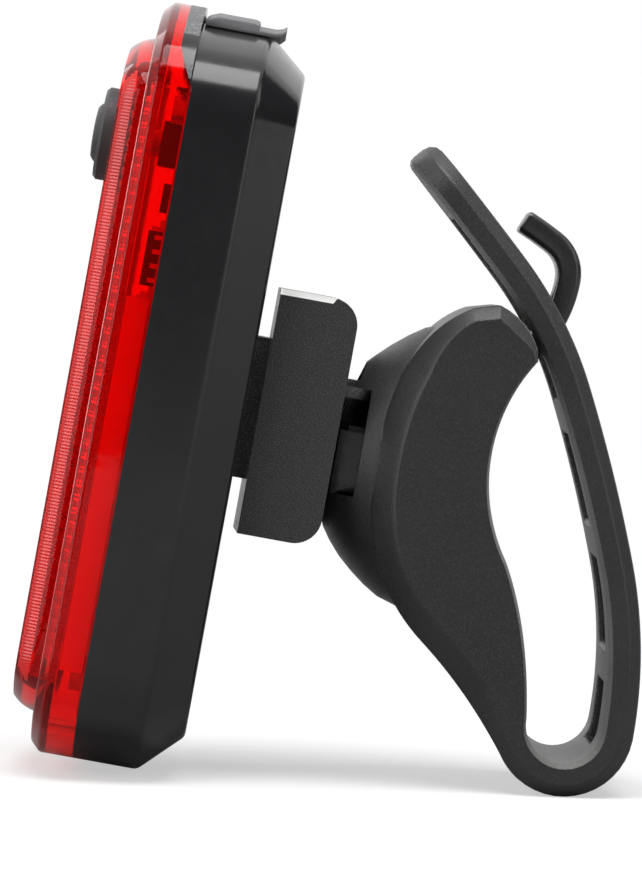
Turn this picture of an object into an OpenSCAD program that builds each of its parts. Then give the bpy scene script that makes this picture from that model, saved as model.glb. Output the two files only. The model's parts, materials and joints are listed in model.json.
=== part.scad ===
// Bike rear light on a swivel bracket, held by a rubber saddle and ladder strap.
// Built upright: X is the width, Y the depth from the lens to the strap, Z the length.
// The finished object then leans back and stands on its lower edge and its strap bend.

/* [Light body] */
// Length of the light from the bottom end to the top lip
light_l = 69.5; // [66:0.5:74]
// Width of the light
light_w = 34; // [31:0.5:40]
// Depth of the light from the lens plateau to the back
light_t = 16; // [15.5:0.25:19]
// Radius of the four corners seen from the front
corner_r = 7.5; // [6:0.5:9]
// Radius of the arched top and bottom ends
end_r = 28; // [26:1:60]
// Wall of the housing
wall = 1.6; // [1.2:0.1:1.8]
// Bevel of the back edge, across the face
bevel_in = 3.7; // [2:0.1:4.5]
// Bevel of the back edge, along the depth
bevel_deep = 3.8; // [2:0.1:4.5]
// Depth of the flat at the top end that the port cover lies on
cover_flat = 1.3; // [1:0.1:1.6]

/* [Lens] */
// How far the lens plateau stands in front of its flange
plateau_h = 2.3; // [1.8:0.1:3]
// Depth of the lens skirt behind the flange face
skirt_h = 4; // [3.6:0.1:4.6]
// Wall of the lens
lens_wall = 1.5; // [1.2:0.1:1.7]
// Bevel round the front edge of the flange
flange_bevel = 0.9; // [0.4:0.1:1.2]
// Distance from the outline to the foot of the plateau
plateau_in = 3.5; // [2.5:0.1:4.5]
// Slope of the plateau walls
plateau_slope = 1.2; // [0.4:0.1:1.8]
// How far the housing lip steps forward at the top
lip_step = 1.6; // [1:0.1:2]
// Length of the lip from the top end
lip_l = 4.5; // [3:0.5:6]
// Length of the slanted jog below the lip
jog_l = 3.5; // [2:0.5:5]

/* [Button] */
// Diameter of the button disc
button_d = 8.5; // [7:0.1:9.5]
// Distance of the button axis from the top end
button_down = 12.9; // [12:0.1:15]
// How far the disc stands in front of the plateau
button_rise = 0.9; // [0.8:0.1:1.4]
// Diameter of the raised pad
button_pad_d = 5.2; // [4:0.1:6]
// Height of the pad on the disc
button_pad_h = 0.6; // [0.3:0.1:1]
// Clearance round the button
button_clearance = 0.08; // [0.05:0.01:0.2]
// Travel of the button
button_travel = 0.6; // [0.3:0.1:0.7]

/* [Port cover] */
// Width of the rubber port cover
cover_w = 12; // [10:0.5:13]
// Length of the cover from its hinge edge to the tip of its pull tab
cover_run = 7.4; // [6.6:0.1:7.8]
// Thickness of the cover plate
cover_t = 0.7; // [0.5:0.05:0.9]
// Height of the cover plate above its flat
cover_lift = 0.15; // [0.1:0.05:0.2]
// Depth of the pull tab at the cover's far end
cover_tab = 2; // [1.5:0.1:2.5]
// Width of the charging port
port_w = 8; // [7:0.1:9]
// Depth of the charging port
port_t = 2.8; // [2.4:0.1:3.2]
// Room behind the cover's plug for its swing
plug_swing = 0.7; // [0.6:0.05:1]

/* [Electronics] */
// Thickness of the circuit board
board_t = 1; // [0.8:0.1:1.2]
// Gap between the board and the housing wall
board_gap = 0.4; // [0.2:0.1:0.8]
// Length of the battery
battery_l = 38; // [30:1:40]
// Width of the battery
battery_w = 24; // [18:1:25]
// Gap between the board and the battery
battery_gap = 1; // [0.6:0.1:1.4]
// Thickness of the foam pad behind the battery
pad_t = 0.6; // [0.3:0.1:1]
// Gap between the light strip and the button above it
strip_gap = 1.85; // [1:0.05:4]
// Gap between the light strip and the foot of the plateau
strip_foot = 3; // [2:0.1:6]
// Number of light chips in each row
chip_rows = 14; // [8:1:16]
// Pitch of the ribs on the light guide
rib_pitch = 1.5; // [1:0.1:3]

/* [Bracket] */
// Height of the bracket block
bracket_h = 22.3; // [20:0.1:26]
// Width of the bracket block
bracket_w = 20; // [18:0.5:26]
// Depth of the bracket block
bracket_t = 7.3; // [6.8:0.1:9]
// Gap between the light and the bracket block
bracket_gap = 1.3; // [0.8:0.1:2.5]
// Radius of the back corners of the block
bracket_r = 2.5; // [1:0.1:3]
// Height of the swivel axis above the bottom of the light
axis_l = 34.5; // [33:0.1:36]
// Length of the rail on the light
rail_l = 12.9; // [11:0.1:14]
// Width of the rail neck
rail_neck_w = 9; // [7:0.5:10]
// Width of the rail flange
rail_flange_w = 13; // [12:0.5:15]
// Thickness of the rail flange
rail_flange_t = 1.6; // [1.2:0.1:1.8]
// Thickness of the bracket lips that hold the flange
bracket_lip = 1.2; // [1:0.1:1.5]
// Clearance round the rail
rail_clearance = 0.15; // [0.1:0.05:0.25]

/* [Swivel] */
// Radius of the swivel boss
boss_r = 4.1; // [3.6:0.1:4.4]
// Running clearance of the boss in its bush
boss_clearance = 0.06; // [0.03:0.01:0.1]
// Wall of the bush
bush_wall = 1.5; // [1.2:0.1:1.7]
// Length of the bush tube
bush_l = 5; // [4:0.1:5.5]
// Radius of the half moon plate
moon_r = 6.3; // [5.9:0.1:6.6]
// Gap between the bracket block and the saddle
swivel_gap = 0.35; // [0.3:0.05:0.6]
// Axial play of the swivel
swivel_play = 0.1; // [0.05:0.05:0.2]
// Radius of the swivel screw
screw_r = 1.5; // [1.2:0.1:1.6]

/* [Saddle] */
// Radius of the tube that the saddle fits
tube_r = 16.2; // [15:0.1:17.5]
// Width of the saddle
saddle_w = 22; // [18:0.5:26]
// Depth of the saddle from its front to the tube face on the swivel axis
saddle_t = 13.6; // [13.2:0.1:15]
// Radius of the dome's front rim
dome_r = 6.9; // [6.6:0.1:7.4]
// How much the dome grows from its rim to its foot
dome_grow = 5; // [3:0.1:5.5]

/* [Strap] */
// Thickness of the strap
strap_t = 2.9; // [2.4:0.1:3.2]
// Width of the strap at the bend
strap_base_w = 21; // [18:0.5:24]
// Width of the strap at the tail
strap_tail_w = 15; // [14:0.5:18]
// Outer radius of the bend below the saddle
bend_r = 6.3; // [6:0.1:7]
// Width of the slots
slot_w = 8; // [7:0.1:9]
// Length of a slot
slot_l = 8.3; // [6:0.1:9]
// Distance from one slot to the next
slot_pitch = 11.7; // [11:0.1:12]
// Length of the long slot that the hook goes through
hook_slot_l = 19.5; // [19:0.1:20]
// Width of the hook
hook_w = 6; // [4:0.1:6.4]
// Thickness of the hook
hook_t = 2.1; // [1.6:0.1:2.3]
// Gap at the split where the strap swings
split_gap = 0.1; // [0.05:0.05:0.2]

/* [Hidden] */
$fn = 64;

// A hair of overlap for cuts and a thin skin for blended shells
eps = 0.02;
over = 5;

// Depths in the light, from the plateau face
flange_d = plateau_h;
parting_d = plateau_h + skirt_h;
lip_d = parting_d - lip_step;
board_d = parting_d - 0.2;
board_back = board_d + board_t;
inner_back = light_t - wall;
jog_top = light_l - lip_l;
jog_foot = jog_top - jog_l;
cover_z = light_l - cover_flat;
button_l = light_l - button_down;

// Board screws and their pillars
board_screw_r = 0.8;
board_head_r = 1.7;
board_head_h = 1.2;
board_screw_l = 5;
pillar_r = 2.3;
pillar_x = light_w / 2 - corner_r;
pillar_low = corner_r + 1;
pillar_high = light_l - corner_r - 2;

// Button and switch
stem_r = 1.7;
button_flange_r = button_d / 2 + 0.8;
button_flange_t = 0.8;
button_skin = 1;
switch_w = 6;
switch_l = 4.1;
switch_d = 4.2;
plunger_r = 1.2;
plunger_d = switch_d - 0.8;

// Battery and light strip
battery_d = board_back + battery_gap;
battery_back = inner_back - pad_t;
battery_low = (pillar_low + pillar_high - battery_l) / 2;
battery_r = 2;
pad_in = 2;
lead_r = 0.5;
lead_x = 3;
lead_rise = 2.5;
strip_w = 11;
strip_t = 0.6;
strip_low = plateau_in + plateau_slope + strip_foot;
strip_l = button_l - button_flange_r - strip_gap - strip_low;
chip_l = 1.8;
chip_w = 2.6;
chip_t = 0.7;
chip_gap_x = 4.6;
guide_w = 20;
guide_t = 0.8;
guide_gap = 0.05;
rib_h = 0.6;

// Charging port, measured from the hinge edge of the cover
cover_d = lip_d + 1.2;
hinge_in = 0.25;
port_d = board_back + 0.15;
plug_d = port_d + 0.2;
plug_t = port_t;
plug_l = 1.4;
port_back = plug_d + plug_t + plug_swing;
socket_l = 5.6;
socket_top = cover_z - wall - 0.3;
socket_wall = 0.4;
anchor_t = 0.9;
anchor_w = 6;
anchor_l = 1.3;
head_run = 5.2;
tab_t = 0.45;

// Bracket, rail and swivel along the depth
block_d = light_t + bracket_gap;
block_back = block_d + bracket_t;
flange_front = block_d + bracket_lip + rail_clearance;
flange_back = flange_front + rail_flange_t;
slot_back = flange_back + rail_clearance;
rail_low = axis_l - rail_l / 2;
rail_screw_r = 1;
rail_head_r = 1.8;
rail_head_h = 0.9;
rail_screw_step = 3.4;
leaf_w = 6;
leaf_t = 0.3;
leaf_room = 0.6;
leaf_l = bracket_h - 5;
saddle_d = block_back + swivel_gap;
moon_d = saddle_d + 0.6;
bush_d = saddle_d + 3.2;
bush_end = bush_d + bush_l;
bush_r = boss_r + boss_clearance + bush_wall;
boss_end = bush_end + swivel_play;
insert_r = screw_r + 0.8;
insert_l = 6;
washer_t = 0.8;
spring_t = 0.5;
head_h = 1.3;
head_r = screw_r + 1.3;
pocket_r = bush_r + 0.3;
washer_r = bush_r;
screw_head_d = boss_end + washer_t + spring_t;
plug_face_d = screw_head_d + head_h + 0.2;
window_low = 6.9;
window_high = 3.5;

// Saddle and strap, measured from the tube's centre
face_d = saddle_d + saddle_t;
tube_d = face_d + tube_r;
tip_up = 8.8;
heel_down = 9.4;
bend_d = tube_d - 5.4;
bend_l = axis_l - 23;
bend_in = bend_r - strap_t;
split_a = -45;
front_d = saddle_d + 3.4;
brow = [saddle_d + 9.55, axis_l + 12.3];
knee = [bend_d - 13.9, axis_l - 17.9];
front_foot_a = 214;
dome_down = 2.3;
dome_deep = 7;

// The strap leaves the split and goes up as bends of a length and a turn
strap_mid_r = bend_r - strap_t / 2;
strap_runs = [
    [strap_mid_r * PI * (90 + split_a) / 180, 90 + split_a],
    [15.5, 21],
    [16, 6],
    [12.5, 20],
    [11.5, 2]
];
strap_start = bend_point(strap_mid_r, split_a);
strap_len = run_length(strap_runs, len(strap_runs));
tail_end = 5;
hook_slot_s = strap_len - tail_end - hook_slot_l;
slot_count = 3;
bend_bridge = 1.5;
strap_step = 1.9;

// The hook leaves the saddle's brow the same way
hook_start = [face_d - 0.1, axis_l + 7];
hook_runs = [[2.8, 0], [5, 25], [3, 15], [3.9, 62], [3.4, 6]];
hook_heading = 50;

// The lean that puts the light's lower back edge and the bend on one level
edge_d = light_t - bevel_deep;
reach = norm([bend_d - edge_d, bend_l]);
lean = atan2(bend_l, bend_d - edge_d) - asin(bend_r / reach);
strap_back = max([for (p = band(strap_start, split_a + 90, strap_runs, strap_t)) level_y(p)]);
light_front = level_y([0, plateau_in + plateau_slope]);
origin_y = (light_front + strap_back) / 2;
floor_z = level_z([edge_d, 0]);

// Place of a point of the side view once the object leans
function level_y(p) = p[0] * cos(lean) + p[1] * sin(lean);
function level_z(p) = p[1] * cos(lean) - p[0] * sin(lean);

// Points of an arc, the first and last ones included
function arc_points(c, r, a0, a1, n) =
    [for (i = [0:n]) c + r * [cos(a0 + (a1 - a0) * i / n), sin(a0 + (a1 - a0) * i / n)]];

// Points of a three point curve, without its last one
function curve_points(a, b, c, n) =
    [for (i = [0:n - 1]) let (t = i / n) (1 - t) * (1 - t) * a + 2 * t * (1 - t) * b + t * t * c];

function bend_point(r, a) = [bend_d, bend_l] + r * [cos(a), sin(a)];

// Outline of the light seen from the front, drawn in by a distance
function light_outline(inset) =
    let (r = corner_r - inset, e = end_r - inset, x = light_w / 2 - corner_r)
    let (h = sqrt((end_r - corner_r) * (end_r - corner_r) - x * x), a = atan2(h, x))
    let (low = end_r, high = light_l - end_r)
    concat(
        arc_points([x, high + h], r, 0, a, 5),
        arc_points([0, high], e, a + 4, 176 - a, 8),
        arc_points([-x, high + h], r, 180 - a, 180, 5),
        arc_points([-x, low - h], r, 180, 180 + a, 5),
        arc_points([0, low], e, 184 + a, 356 - a, 8),
        arc_points([x, low - h], r, 360 - a, 360, 5)
    );

// Length of the first runs, and the point and heading at a distance along them
function run_length(runs, n) = n == 0 ? 0 : runs[n - 1][0] + run_length(runs, n - 1);
function run_step(p, h, run, part) =
    let (turn = run[1] * part, chord = turn == 0 ? 1 : sin(turn / 2) / (turn / 2 * PI / 180))
    p + run[0] * part * chord * [cos(h + turn / 2), sin(h + turn / 2)];
function run_at(p, h, runs, s, i = 0) =
    (s <= runs[i][0] || i == len(runs) - 1)
        ? [run_step(p, h, runs[i], s / runs[i][0]), h + runs[i][1] * s / runs[i][0]]
        : run_at(run_step(p, h, runs[i], 1), h + runs[i][1], runs, s - runs[i][0], i + 1);

// Side view of a band that follows the runs, between two distances along them
function band(p, h, runs, t, s0 = 0, s1 = -1) =
    let (last = s1 < 0 ? run_length(runs, len(runs)) : s1, n = ceil((last - s0) / strap_step))
    let (at = [for (i = [0:n]) run_at(p, h, runs, s0 + (last - s0) * i / n)])
    concat(
        [for (q = at) q[0] + t / 2 * [sin(q[1]), -cos(q[1])]],
        [for (i = [n:-1:0]) at[i][0] - t / 2 * [sin(at[i][1]), -cos(at[i][1])]]
    );

module stand() {
    translate([0, -origin_y, -floor_z]) rotate([-lean, 0, 0]) children();
}

// A front outline given thickness between two depths
module slab(outline, d0, d1) {
    translate([0, d1, 0]) rotate([90, 0, 0]) linear_extrude(d1 - d0) polygon(outline);
}

// A side view given width, centred on the middle plane
module side_prism(profile, w) {
    translate([-w / 2, 0, 0]) rotate([90, 0, 90]) linear_extrude(w) polygon(profile);
}

// Turns a shape so that its own Z runs along the depth
module along_depth(d, l, x = 0) {
    translate([x, d, l]) rotate([-90, 0, 0]) children();
}

module block(w, d0, d1, l0, l1, x = 0) {
    translate([x - w / 2, d0, l0]) cube([w, d1 - d0, l1 - l0]);
}

// A plate with rounded corners, standing across the depth
module rounded_plate(w, l, r, d0, d1, l0) {
    translate([0, d1, l0 + l / 2]) rotate([90, 0, 0]) linear_extrude(d1 - d0) union() {
        square([w - 2 * r, l], center = true);
        square([w, l - 2 * r], center = true);
        for (x = [-1, 1], y = [-1, 1]) translate([x * (w / 2 - r), y * (l / 2 - r)]) circle(r);
    }
}

module at_board_screws() {
    for (x = [-1, 1], l = [pillar_low, pillar_high]) along_depth(0, l, x * pillar_x) children();
}

module at_rail_screws() {
    for (s = [-1, 1]) along_depth(0, axis_l + s * rail_screw_step) children();
}

// Everything in front of the parting line of lens and housing
module front_side() {
    side_prism([
        [-over, -over],
        [parting_d, -over],
        [parting_d, jog_foot],
        [lip_d, jog_top],
        [lip_d, light_l + over],
        [-over, light_l + over]
    ], light_w + over);
}

module lens_shape() {
    hull() {
        slab(light_outline(flange_bevel), flange_d, flange_d + eps);
        slab(light_outline(0), flange_d + flange_bevel, parting_d + eps);
    }
    hull() {
        slab(light_outline(plateau_in + plateau_slope), 0, eps);
        slab(light_outline(plateau_in), flange_d, flange_d + eps);
    }
}

module lens() {
    color([0.86, 0.05, 0.04, 0.6]) difference() {
        intersection() {
            lens_shape();
            front_side();
        }
        slab(light_outline(wall), flange_d + lens_wall, parting_d + over);
        slab(light_outline(plateau_in + plateau_slope + lens_wall * 0.6), lens_wall, parting_d);
        along_depth(-over, button_l) cylinder(r = button_d / 2 + button_clearance, h = over + parting_d);
    }
}

module housing() {
    color([0.13, 0.13, 0.14]) difference() {
        union() {
            difference() {
                hull() {
                    slab(light_outline(0), lip_d - flange_bevel, light_t - bevel_deep);
                    slab(light_outline(bevel_in), light_t - eps, light_t);
                }
                hull() {
                    slab(light_outline(wall), 0, light_t - bevel_deep - wall / 2);
                    slab(light_outline(bevel_in + wall / 2), 0, inner_back);
                }
            }
            at_board_screws() translate([0, 0, board_back])
                cylinder(r = pillar_r, h = inner_back - board_back + eps);
            block(port_w + 3.2, lip_d, port_back + wall, socket_top - 0.6, cover_z);
        }
        front_side();
        block(light_w, cover_d - 0.3, light_t + over, cover_z, light_l + over);
        block(port_w + 0.6, plug_d - 0.2, port_back, 0.5 * light_l, cover_z + over);
        block(port_w + 6, 0, board_back + eps, 0.5 * light_l, cover_z - wall);
        block(anchor_w, cover_d, cover_d + anchor_t, cover_z - anchor_l, cover_z + over);
        at_board_screws() cylinder(r = board_screw_r, h = inner_back);
        at_rail_screws() translate([0, 0, inner_back - over]) {
            cylinder(r = rail_screw_r, h = wall + 2 * over);
            cylinder(r = rail_head_r, h = rail_head_h + over);
        }
    }
}

module circuit_board() {
    color([0.1, 0.32, 0.16]) difference() {
        slab(light_outline(wall + board_gap), board_d, board_back);
        block(light_w, board_d - over, board_back + over, cover_z - wall - board_gap, light_l);
        at_board_screws() translate([0, 0, board_d - over]) cylinder(r = board_screw_r, h = 2 * over);
    }
}

module board_screws() {
    color([0.75, 0.75, 0.77]) at_board_screws() translate([0, 0, board_d]) {
        cylinder(r = board_screw_r, h = board_screw_l);
        translate([0, 0, -board_head_h]) cylinder(r = board_head_r, h = board_head_h);
    }
}

module led_strip() {
    color([0.9, 0.88, 0.82]) rounded_plate(strip_w, strip_l, 1, board_d - strip_t, board_d, strip_low);
}

module led_chips() {
    color([0.95, 0.8, 0.35]) for (i = [0:chip_rows - 1], x = [-1, 1]) {
        l = strip_low + strip_l * (i + 0.5) / chip_rows;
        front = board_d - strip_t - chip_t;
        block(chip_w, front, front + chip_t, l - chip_l / 2, l + chip_l / 2, x * chip_gap_x / 2);
    }
}

// A clear plate with a row of ribs towards the lens
module light_guide() {
    count = floor(strip_l / rib_pitch);
    front = lens_wall + guide_gap;
    back = front + rib_h + guide_t;
    top = strip_low + count * rib_pitch;
    teeth = [for (i = [0:count - 1], k = [0, 0.5])
        [front + rib_h * (1 - 2 * k), strip_low + (i + k) * rib_pitch]];
    color([0.95, 0.6, 0.55, 0.7])
        side_prism(concat(teeth, [[front + rib_h, top], [back, top], [back, strip_low]]), guide_w);
}

module driver_chip() {
    body_w = 3.9;
    body_l = 4.9;
    body_t = 1.3;
    pin_step = 1.27;
    pin_w = 0.42;
    pin_out = 1;
    chip_x = light_w / 2 - wall - board_gap - body_w / 2 - pin_out - 0.3;
    chip_low = axis_l + 9.2;
    color([0.08, 0.08, 0.09]) {
        block(body_w, board_d - body_t, board_d, chip_low, chip_low + body_l, chip_x);
        for (i = [0:3]) {
            l = chip_low + body_l / 2 + (i - 1.5) * pin_step;
            block(body_w + 2 * pin_out, board_d - body_t / 2, board_d,
                l - pin_w / 2, l + pin_w / 2, chip_x);
        }
    }
}

module small_components() {
    part_x = light_w / 2 - wall - board_gap - 2.2;
    part_w = 1.2;
    part_l = 2;
    part_t = 0.7;
    part_step = 6;
    front = board_d - part_t;
    color([0.2, 0.18, 0.17]) {
        block(part_w, front, board_d, axis_l + 15.8, axis_l + 18.4, part_x);
        for (i = [0:2], x = [-part_x, part_x]) {
            low = axis_l - 2 * part_step + part_step * i;
            block(part_w, front, board_d, low, low + part_l, x);
        }
    }
}

module switch_body() {
    color([0.1, 0.1, 0.1]) difference() {
        block(switch_w, switch_d, board_d, button_l - switch_l / 2, button_l + switch_l / 2);
        along_depth(switch_d - over, button_l) cylinder(r = plunger_r + button_clearance, h = over + 1.5);
    }
}

module switch_plunger() {
    color([0.85, 0.85, 0.8]) along_depth(plunger_d, button_l)
        cylinder(r = plunger_r, h = switch_d - plunger_d + 1.5 - button_travel - 0.1);
}

module button_cap() {
    disc_back = lens_wall + 0.05;
    color([0.12, 0.12, 0.12]) along_depth(0, button_l) difference() {
        union() {
            translate([0, 0, -button_rise - button_pad_h])
                cylinder(d = button_pad_d, h = button_pad_h + eps);
            translate([0, 0, -button_rise]) cylinder(d = button_d, h = disc_back + button_rise + eps);
            translate([0, 0, disc_back]) cylinder(r = button_flange_r, h = button_flange_t);
            translate([0, 0, -button_rise]) cylinder(r = stem_r, h = button_rise + plunger_d);
        }
        translate([0, 0, button_skin - button_rise]) difference() {
            cylinder(d = button_d - 2 * button_skin, h = disc_back + over);
            cylinder(r = stem_r, h = disc_back + over);
        }
    }
}

module usb_socket() {
    low = socket_top - socket_l;
    back = port_d + port_t + 0.2;
    tongue_d = port_d + port_t / 2 - 0.2;
    tongue_t = 0.6;
    foot_w = 1;
    color([0.78, 0.78, 0.8]) {
        difference() {
            block(port_w, port_d, back, low, socket_top);
            block(port_w - 2 * socket_wall, port_d + socket_wall, back - socket_wall,
                low + 1, socket_top + over);
        }
        block(port_w - 3, tongue_d, tongue_d + tongue_t, low + 0.5, socket_top - 0.8);
        for (x = [-1, 1])
            block(foot_w, board_back, port_d + eps, low + 0.5, low + 2, x * (port_w - foot_w) / 2);
    }
}

module battery_cell() {
    color([0.72, 0.74, 0.76])
        rounded_plate(battery_w, battery_l, battery_r, battery_d, battery_back, battery_low);
}

module battery_pad() {
    w = battery_w - 2 * pad_in;
    l = battery_l - 2 * pad_in;
    color([0.25, 0.25, 0.26])
        rounded_plate(w, l, battery_r, battery_back, inner_back, battery_low + pad_in);
}

// Two insulated wires from the end of the cell to the board
module battery_leads() {
    top = battery_low + battery_l;
    mid = battery_d + 1.5;
    color([0.7, 0.1, 0.1]) for (x = [-lead_x, lead_x]) {
        translate([x, mid, top]) cylinder(r = lead_r, h = lead_rise);
        translate([x, mid, top + lead_rise]) sphere(lead_r);
        along_depth(board_back, top + lead_rise, x) cylinder(r = lead_r, h = mid - board_back);
    }
}

// A T shaped rail screwed to the light's back
module mount_rail() {
    color([0.12, 0.12, 0.13]) difference() {
        union() {
            block(rail_neck_w, light_t, flange_front + eps, rail_low, rail_low + rail_l);
            block(rail_flange_w, flange_front, flange_back, rail_low, rail_low + rail_l);
        }
        at_rail_screws() translate([0, 0, light_t - over])
            cylinder(r = rail_screw_r, h = over + flange_front - light_t);
    }
}

module rail_screws() {
    color([0.75, 0.75, 0.77]) at_rail_screws() translate([0, 0, inner_back]) {
        cylinder(r = rail_head_r, h = rail_head_h);
        cylinder(r = rail_screw_r, h = flange_front - inner_back - 0.3);
    }
}

// The foot of the cover's tether, pressed into the housing
module cover_anchor() {
    color([0.14, 0.14, 0.14]) block(anchor_w, cover_d, cover_d + anchor_t, cover_z - anchor_l, cover_z);
}

module port_cover() {
    low = cover_z + cover_lift;
    color([0.16, 0.16, 0.16]) {
        block(cover_w, cover_d, cover_d + head_run, low, low + cover_t);
        block(cover_w - 2, cover_d, cover_d + cover_run, low, low + tab_t);
        block(cover_w - 2, cover_d + cover_run - cover_tab / 2, cover_d + cover_run, low, low + cover_t);
        block(port_w, plug_d, plug_d + plug_t, cover_z - plug_l, low + eps);
    }
}

// The block that takes the rail, with the boss it swivels on
module bracket_block() {
    low = axis_l - bracket_h / 2;
    top = low + bracket_h + over;
    neck_slot_w = rail_neck_w + 2 * rail_clearance;
    flange_slot_w = rail_flange_w + 2 * rail_clearance;
    leaf_low = axis_l - leaf_l / 2;
    r = bracket_r;
    color([0.2, 0.2, 0.21]) difference() {
        union() {
            difference() {
                translate([-bracket_w / 2, 0, 0]) rotate([90, 0, 90]) linear_extrude(bracket_w) union() {
                    translate([block_d, low]) square([bracket_t - r, bracket_h]);
                    translate([block_d, low + r]) square([bracket_t, bracket_h - 2 * r]);
                    for (l = [low + r, low + bracket_h - r]) translate([block_back - r, l]) circle(r);
                }
                block(neck_slot_w, block_d - over, slot_back, rail_low, top);
                block(flange_slot_w, flange_front - rail_clearance, slot_back, rail_low, top);
                block(leaf_w, slot_back - eps, slot_back + leaf_room, leaf_low, leaf_low + leaf_l);
            }
            along_depth(block_back - 1, axis_l) cylinder(r = boss_r, h = boss_end - block_back + 1);
        }
        along_depth(boss_end - insert_l, axis_l) cylinder(r = insert_r, h = insert_l + over);
    }
}

module latch_spring() {
    front = slot_back + leaf_room - leaf_t;
    color([0.8, 0.8, 0.82]) block(leaf_w, front, front + leaf_t, axis_l - leaf_l / 2, axis_l + leaf_l / 2);
}

module thread_insert() {
    color([0.8, 0.62, 0.25]) along_depth(boss_end - insert_l, axis_l) difference() {
        cylinder(r = insert_r, h = insert_l);
        translate([0, 0, -over]) cylinder(r = screw_r, h = insert_l + 2 * over);
    }
}

module ring(d, r_in, r_out, t) {
    along_depth(d, axis_l) difference() {
        cylinder(r = r_out, h = t);
        translate([0, 0, -over]) cylinder(r = r_in, h = t + 2 * over);
    }
}

module swivel_washer() {
    color([0.78, 0.78, 0.8]) ring(boss_end, screw_r + 0.05, washer_r, washer_t);
}

module spring_washer() {
    color([0.7, 0.7, 0.72]) ring(boss_end + washer_t, screw_r + 0.05, screw_r + 1.2, spring_t);
}

module swivel_screw() {
    slot_t = 0.8;
    color([0.75, 0.75, 0.77]) along_depth(screw_head_d, axis_l) difference() {
        union() {
            cylinder(r = head_r, h = head_h);
            translate([0, 0, 0.5 - insert_l]) cylinder(r = screw_r, h = insert_l);
        }
        for (a = [0, 90]) rotate([0, 0, a])
            translate([-slot_t / 2, -head_r * 0.7, head_h / 2]) cube([slot_t, head_r * 1.4, head_h]);
    }
}

// The sleeve that the boss turns in, with the half moon plate below the axis
module swivel_bush() {
    bore_r = boss_r + boss_clearance;
    color([0.24, 0.24, 0.25]) along_depth(0, axis_l) difference() {
        union() {
            translate([0, 0, bush_d - eps]) cylinder(r = bush_r, h = bush_l + eps);
            intersection() {
                translate([0, 0, moon_d]) cylinder(r = moon_r, h = bush_d - moon_d);
                translate([-moon_r, 0, moon_d]) cube([2 * moon_r, moon_r, bush_d - moon_d]);
            }
        }
        translate([0, 0, moon_d - over]) cylinder(r = bore_r, h = bush_end - moon_d + 2 * over);
    }
}

// Side view of the saddle and of the bend that carries on to the strap
function saddle_profile() =
    let (tip_a = 180 - asin(tip_up / tube_r), heel_a = 180 + asin(heel_down / tube_r))
    let (heel = [tube_d, axis_l] + tube_r * [cos(heel_a), sin(heel_a)])
    let (tip = [tube_d, axis_l] + tube_r * [cos(tip_a), sin(tip_a)])
    let (bend_top = bend_point(bend_in, 180), foot = bend_point(bend_r, front_foot_a))
    let (waist = [front_d, axis_l - 2.5])
    concat(
        arc_points([tube_d, axis_l], tube_r, tip_a, heel_a, 16),
        slice(curve_points(heel, [bend_top[0] - 1.2, axis_l - 15], bend_top, 6), 1),
        arc_points([bend_d, bend_l], bend_in, 180, 360 + split_a, 10),
        arc_points([bend_d, bend_l], bend_r, 360 + split_a, front_foot_a, 10),
        slice(curve_points(foot, [foot[0] - 3.9, foot[1] + 5], knee, 5), 1),
        curve_points(knee, [front_d, axis_l - 12.6], waist, 7),
        curve_points(waist, [front_d, axis_l + 9], brow, 7),
        curve_points(brow, [tip[0] - 2.1, brow[1] + 1.5], tip, 6)
    );
function slice(list, first) = [for (i = [first:len(list) - 1]) list[i]];

module hook_shape(w) {
    side_prism(band(hook_start, hook_heading, hook_runs, hook_t), w);
}

module saddle_pad() {
    dome = [
        [0, 0],
        [dome_r, 0],
        [dome_r + dome_grow * 0.35, 1.6],
        [dome_r + dome_grow * 0.85, dome_deep * 0.6],
        [dome_r + dome_grow, dome_deep],
        [dome_r + dome_grow * 0.7, dome_deep + 1],
        [0, dome_deep + 1]
    ];
    color([0.22, 0.22, 0.23]) difference() {
        union() {
            side_prism(saddle_profile(), saddle_w);
            intersection() {
                along_depth(saddle_d, axis_l - dome_down) rotate_extrude() polygon(dome);
                block(saddle_w - 0.4, 0, bend_d, 0, light_l);
            }
        }
        block(saddle_w + over, saddle_d - over, bush_d, axis_l - window_low, axis_l + window_high);
        along_depth(saddle_d - over, axis_l) cylinder(r = boss_r + 0.6, h = over + bush_d - saddle_d);
        along_depth(bush_d - eps, axis_l) cylinder(r = bush_r, h = bush_l + 2 * eps);
        along_depth(bush_end, axis_l) cylinder(r = pocket_r, h = tube_r);
        hook_shape(hook_w);
        strap_side_cut();
    }
}

// Seen from behind, the bend narrows from the saddle's width to the strap's
module strap_side_cut() {
    for (x = [-1, 1]) translate([0, bend_d - bend_r - over, 0]) rotate([-90, 0, 0]) mirror([0, 1, 0])
        linear_extrude(4 * over) polygon([
            [x * saddle_w / 2, bend_l + bend_r],
            [x * (saddle_w / 2 + over), bend_l + bend_r],
            [x * (saddle_w / 2 + over), -over],
            [x * strap_base_w / 2, -over],
            [x * strap_base_w / 2, bend_l]
        ]);
}

module strap_hook() {
    color([0.2, 0.2, 0.21]) hook_shape(hook_w);
}

// A round plug over the screw, flush with the curve of the tube face
module screw_plug() {
    color([0.15, 0.15, 0.16]) difference() {
        along_depth(plug_face_d, axis_l) cylinder(r = pocket_r, h = tube_r / 2);
        translate([-saddle_w, tube_d, axis_l]) rotate([0, 90, 0])
            cylinder(r = tube_r, h = 2 * saddle_w, $fn = 128);
    }
}

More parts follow.
